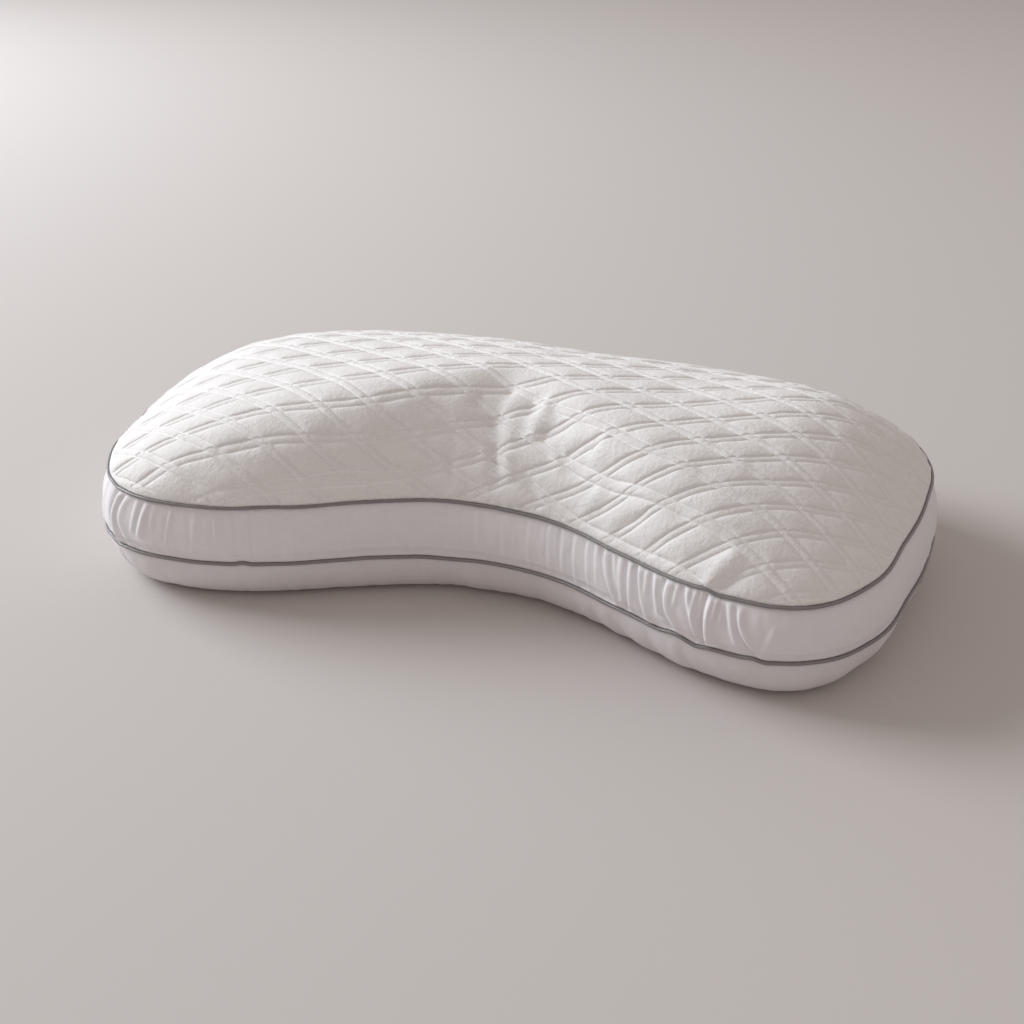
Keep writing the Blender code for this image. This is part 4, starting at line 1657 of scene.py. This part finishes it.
@dataclass(frozen=True)
class ClothFinish:
    """A white cotton finish.

    Args:
        name: Name of the material.
        colour: Its colour.
        shade: Its colour darkened by painted shade, used in the hollows of the crumple; the grooves'
            painted shade is darker still.
        roughness: Its roughness.
        sheen: Weight of its sheen.
        weave: How closely it is woven.
        weave_height: Height of its threads.
        crumple: Scale of its crumples, per metre.
        crumple_height: Their height.
        specular: Strength of its mirror-like part.
    """

    name: str
    colour: tuple[float, float, float]
    shade: tuple[float, float, float]
    roughness: float
    sheen: float
    weave: Weave
    weave_height: float
    crumple: float
    crumple_height: float
    specular: float = 0.28

    def _start(self) -> tuple[bpy.types.Material, NodeSheet, bpy.types.Node]:
        """Return a new material with the finish's own numbers, its sheet and its shader."""
        return new_material(self.name, self.colour, self.roughness, self.specular, self.sheen)

    def _surface(
        self, sheet: NodeSheet, groups: Groups
    ) -> tuple[bpy.types.NodeSocket, bpy.types.NodeSocket]:
        """Add the weave and crumples, and return the height in metres and the colour, with painted shade
        in the crumples' hollows.
        """
        place = sheet.add("ShaderNodeTexCoord").outputs["Object"]
        weave = sheet.group(groups["weave"], place=place, threads=self.weave.value)
        crumple = sheet.group(groups["crumple"], place=place, scale=self.crumple)
        soft = sheet.maths("MULTIPLY", crumple["Height"], self.crumple_height)
        height = sheet.maths("MULTIPLY_ADD", weave["Height"], self.weave_height, soft)
        # Painted shade: the colour goes towards the shade colour in the crumples' hollows
        crumple_shading = sheet.maths("MULTIPLY_ADD", crumple["Painted Shading"], 1.6, -0.3)
        return height, sheet.mix(self.shade, self.colour, crumple_shading)

    def plain(self, groups: Groups) -> bpy.types.Material:
        """Return the finish as a plain cloth.

        Args:
            groups: The shared groups.

        Returns:
            The material.
        """
        material, sheet, shader = self._start()
        height, colour = self._surface(sheet, groups)
        sheet.finish(shader, colour, height)
        return material

    def quilted(self, groups: Groups, pattern: QuiltPattern) -> bpy.types.Material:
        """Return the finish with stitches along the channels, painted shade in their grooves and the
        thread's colour widened into a painted highlight beside them.

        Args:
            groups: The shared groups.
            pattern: The quilting.

        Returns:
            The material.
        """
        material, sheet, shader = self._start()
        height, colour = self._surface(sheet, groups)
        number = sheet.split(sheet.add("ShaderNodeUVMap", uv_map="quilting").outputs[0])
        spacing_u, spacing_v = pattern.spacings()
        families = (
            ("X", "Y", spacing_u, math.hypot(*pattern.falling)),
            ("Y", "X", spacing_v, math.hypot(*pattern.rising)),
        )
        masks = []
        for across, along, spacing, step in families:
            places = {"across": number[across], "along": number[along]}
            masks.append(sheet.group(groups["stitches"], **places, across_step=spacing, along_step=step))
        thread_and_highlight = sheet.maths("MAXIMUM", *(mask["Thread"] for mask in masks))
        groove = sheet.maths("MAXIMUM", *(mask["Groove Shade"] for mask in masks))
        height = sheet.maths("MULTIPLY_ADD", thread_and_highlight, THREAD_HEIGHT, height)
        # Painted shade: the grooves go towards a darker copy of the shade colour
        groove_shade = tuple(GROOVE_SHADE_TONE * part for part in self.shade)
        colour = sheet.mix(colour, groove_shade, sheet.maths("MULTIPLY", groove, GROOVE_SHADE_COVER))
        # Partly the thread's own whiter colour, partly a painted highlight beside each groove
        colour = sheet.mix(colour, THREAD_AND_HIGHLIGHT_COLOUR, sheet.maths("MULTIPLY", thread_and_highlight, THREAD_AND_HIGHLIGHT_COVER))
        sheet.finish(shader, colour, height)
        return material


@dataclass(frozen=True)
class SatinFinish:
    """The grey satin of the piping.

    Args:
        name: Name of the material.
        colour: Its colour.
        light: Its colour with painted highlight, on the crest of a rib and of a crumple.
        roughness: Its roughness.
        sheen: Weight of its sheen.
        ribs: Diagonal ribs per metre of piping.
        rib_slant: How far they slant, per metre round the section.
        rib_height: Their height.
        crumple: Scale of its crumples, per metre.
        crumple_height: Their height.
        specular: Strength of its mirror-like part.
    """

    name: str = "grey_satin"
    colour: tuple[float, float, float] = (0.205, 0.185, 0.185)
    light: tuple[float, float, float] = (0.36, 0.335, 0.34)
    roughness: float = 0.30
    sheen: float = 0.12
    ribs: float = 1100.0
    rib_slant: float = 0.9
    rib_height: float = 0.00006
    crumple: float = 260.0
    crumple_height: float = 0.00028
    specular: float = 0.55

    def build(self, groups: Groups) -> bpy.types.Material:
        """Return the material.

        Args:
            groups: The shared groups.

        Returns:
            The material.
        """
        material, sheet, shader = new_material(
            self.name, self.colour, self.roughness, self.specular, self.sheen
        )
        place = sheet.split(sheet.add("ShaderNodeUVMap", uv_map="cloth").outputs[0])
        slant = sheet.maths("MULTIPLY_ADD", place["Y"], self.rib_slant, place["X"])
        rib = sheet.maths("SINE", sheet.maths("MULTIPLY", slant, self.ribs * math.tau))
        rib = sheet.maths("MULTIPLY_ADD", rib, 0.5, 0.5)
        where = sheet.add("ShaderNodeTexCoord").outputs["Object"]
        crumple = sheet.group(groups["crumple"], place=where, scale=self.crumple)
        soft = sheet.maths("MULTIPLY", crumple["Height"], self.crumple_height)
        height = sheet.maths("MULTIPLY_ADD", rib, self.rib_height, soft)
        # Painted highlight: the crests of the ribs and crumples go towards the lighter colour
        colour = sheet.mix(self.colour, self.light, sheet.maths("MULTIPLY", rib, crumple["Painted Shading"]))
        sheet.finish(shader, colour, height)
        return material


@dataclass
class Studio:
    """The plain pale floor, the soft key light, the room's light and the camera.

    Attributes:
        camera_place: Where the camera stands.
        camera_aim: What it looks at.
        lens: Focal length in millimetres.
        floor_size: Width of the floor.
        floor_colour: Colour of the floor.
        key_place: Where the window-like key light stands.
        key_size: Its width.
        key_power: Its power.
        key_colour: Its colour.
        room_colour: Colour of the light from all round.
        room_strength: Its strength.
    """

    camera_place: tuple[float, float, float] = (0.36819, -1.04611, 0.60060)
    camera_aim: tuple[float, float, float] = (-0.02134, 0.03988, 0.0)
    lens: float = 49.2
    floor_size: float = 24.0
    floor_colour: tuple[float, float, float] = (0.625, 0.590, 0.567)
    key_place: tuple[float, float, float] = (-3.95, 0.50, 1.98)
    key_size: float = 2.6
    key_power: float = 222.0
    key_colour: tuple[float, float, float] = (0.86, 0.92, 0.98)
    room_colour: tuple[float, float, float] = (1.0, 0.904, 0.86)
    room_strength: float = 0.46

    def build(self) -> None:
        """Build the floor, the lights and the camera."""
        self._floor()
        self._lights()
        self._camera()

    def _floor(self) -> None:
        """Build the floor."""
        bpy.ops.object.select_all(action="DESELECT")
        bpy.ops.mesh.primitive_plane_add(size=self.floor_size, location=(0.0, 0.0, 0.0))
        floor = bpy.context.active_object
        floor.name = "pale_floor"
        material, _, shader = new_material("pale_floor", self.floor_colour, roughness=0.9, specular=0.1)
        shader.inputs["Base Color"].default_value = (*self.floor_colour, 1.0)
        floor.data.materials.append(material)

    def _lights(self) -> None:
        """Build the key light and the light from all round."""
        bpy.ops.object.light_add(type="AREA", location=self.key_place)
        key = bpy.context.active_object
        key.name = "window_key"
        key.data.shape = "SQUARE"
        key.data.size = self.key_size
        key.data.energy = self.key_power
        key.data.color = self.key_colour
        key.rotation_euler = (-Vector(self.key_place)).to_track_quat("-Z", "Y").to_euler()
        world = bpy.data.worlds.new("soft_room")
        world.use_nodes = True
        background = world.node_tree.nodes["Background"]
        background.inputs["Color"].default_value = (*self.room_colour, 1.0)
        background.inputs["Strength"].default_value = self.room_strength
        bpy.context.scene.world = world
        bpy.context.scene.view_settings.view_transform = "Standard"

    def _camera(self) -> None:
        """Build the camera."""
        bpy.ops.object.camera_add(location=self.camera_place)
        camera = bpy.context.active_object
        camera.name = "front_camera"
        camera.data.lens = self.lens
        camera.data.sensor_width = 36.0
        camera.data.clip_end = 60.0
        way = Vector(self.camera_aim) - Vector(self.camera_place)
        camera.rotation_euler = way.to_track_quat("-Z", "Y").to_euler()
        bpy.context.scene.camera = camera


def dress(piece: bpy.types.Object, material: bpy.types.Material, node: str) -> None:
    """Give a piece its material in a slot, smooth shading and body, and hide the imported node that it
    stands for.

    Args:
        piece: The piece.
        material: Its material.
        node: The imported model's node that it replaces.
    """
    piece.data.materials.clear()
    piece.data.materials.append(material)
    piece.data.shade_smooth()
    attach(piece, "root")
    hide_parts(node)
    LOG.info("%s: %d points, %d faces", piece.name, len(piece.data.vertices), len(piece.data.polygons))


def main() -> None:
    """Build the pillow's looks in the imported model's frame."""
    logging.basicConfig(level=logging.INFO, format="%(message)s")
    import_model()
    bpy.ops.object.select_all(action="DESELECT")
    groups = {"weave": weave_group(), "crumple": crumple_group(), "stitches": stitch_group()}
    seams = SeamLines()
    top_outline = SeamOutline(TOP_STATIONS)
    side_outline = SeamOutline(SIDE_STATIONS)
    pattern = QuiltPattern()
    top_cloth = ClothFinish(
        name="white_quilted_cotton",
        colour=(0.87, 0.85, 0.835),
        shade=(0.83, 0.81, 0.795),
        roughness=0.86,
        sheen=0.12,
        weave=Weave.COARSE,
        weave_height=0.00006,
        crumple=260.0,
        crumple_height=0.0006,
    )
    side_cloth = ClothFinish(
        name="white_smooth_cotton",
        colour=(0.85, 0.82, 0.84),
        shade=(0.815, 0.785, 0.805),
        roughness=0.7,
        sheen=0.15,
        weave=Weave.FINE,
        weave_height=0.00002,
        crumple=110.0,
        crumple_height=0.0004,
    )
    satin = SatinFinish().build(groups)
    # A darker copy of the side cloth for the under panel, which is the same fabric: painted shade
    shaded_under_cloth = replace(
        side_cloth,
        name="shaded_under_cloth",
        colour=(0.79, 0.755, 0.765),
        shade=(0.76, 0.725, 0.735),
    )
    dress(
        QuiltedTop(top_outline, seams, pattern=pattern).build(),
        top_cloth.quilted(groups, pattern),
        "quilted_cushion",
    )
    dress(GussetStrip(side_outline, seams).build(), side_cloth.plain(groups), "gusset")
    under_panel = UnderPanel(top_outline, seams).build()
    dress(under_panel, shaded_under_cloth.plain(groups), "bottom_panel")
    for side in Side:
        piping = SeamPiping(side, side_outline, seams).build()
        dress(piping, satin, f"{side.value}_piping")
    Studio().build()


if __name__ == "__main__":
    main()
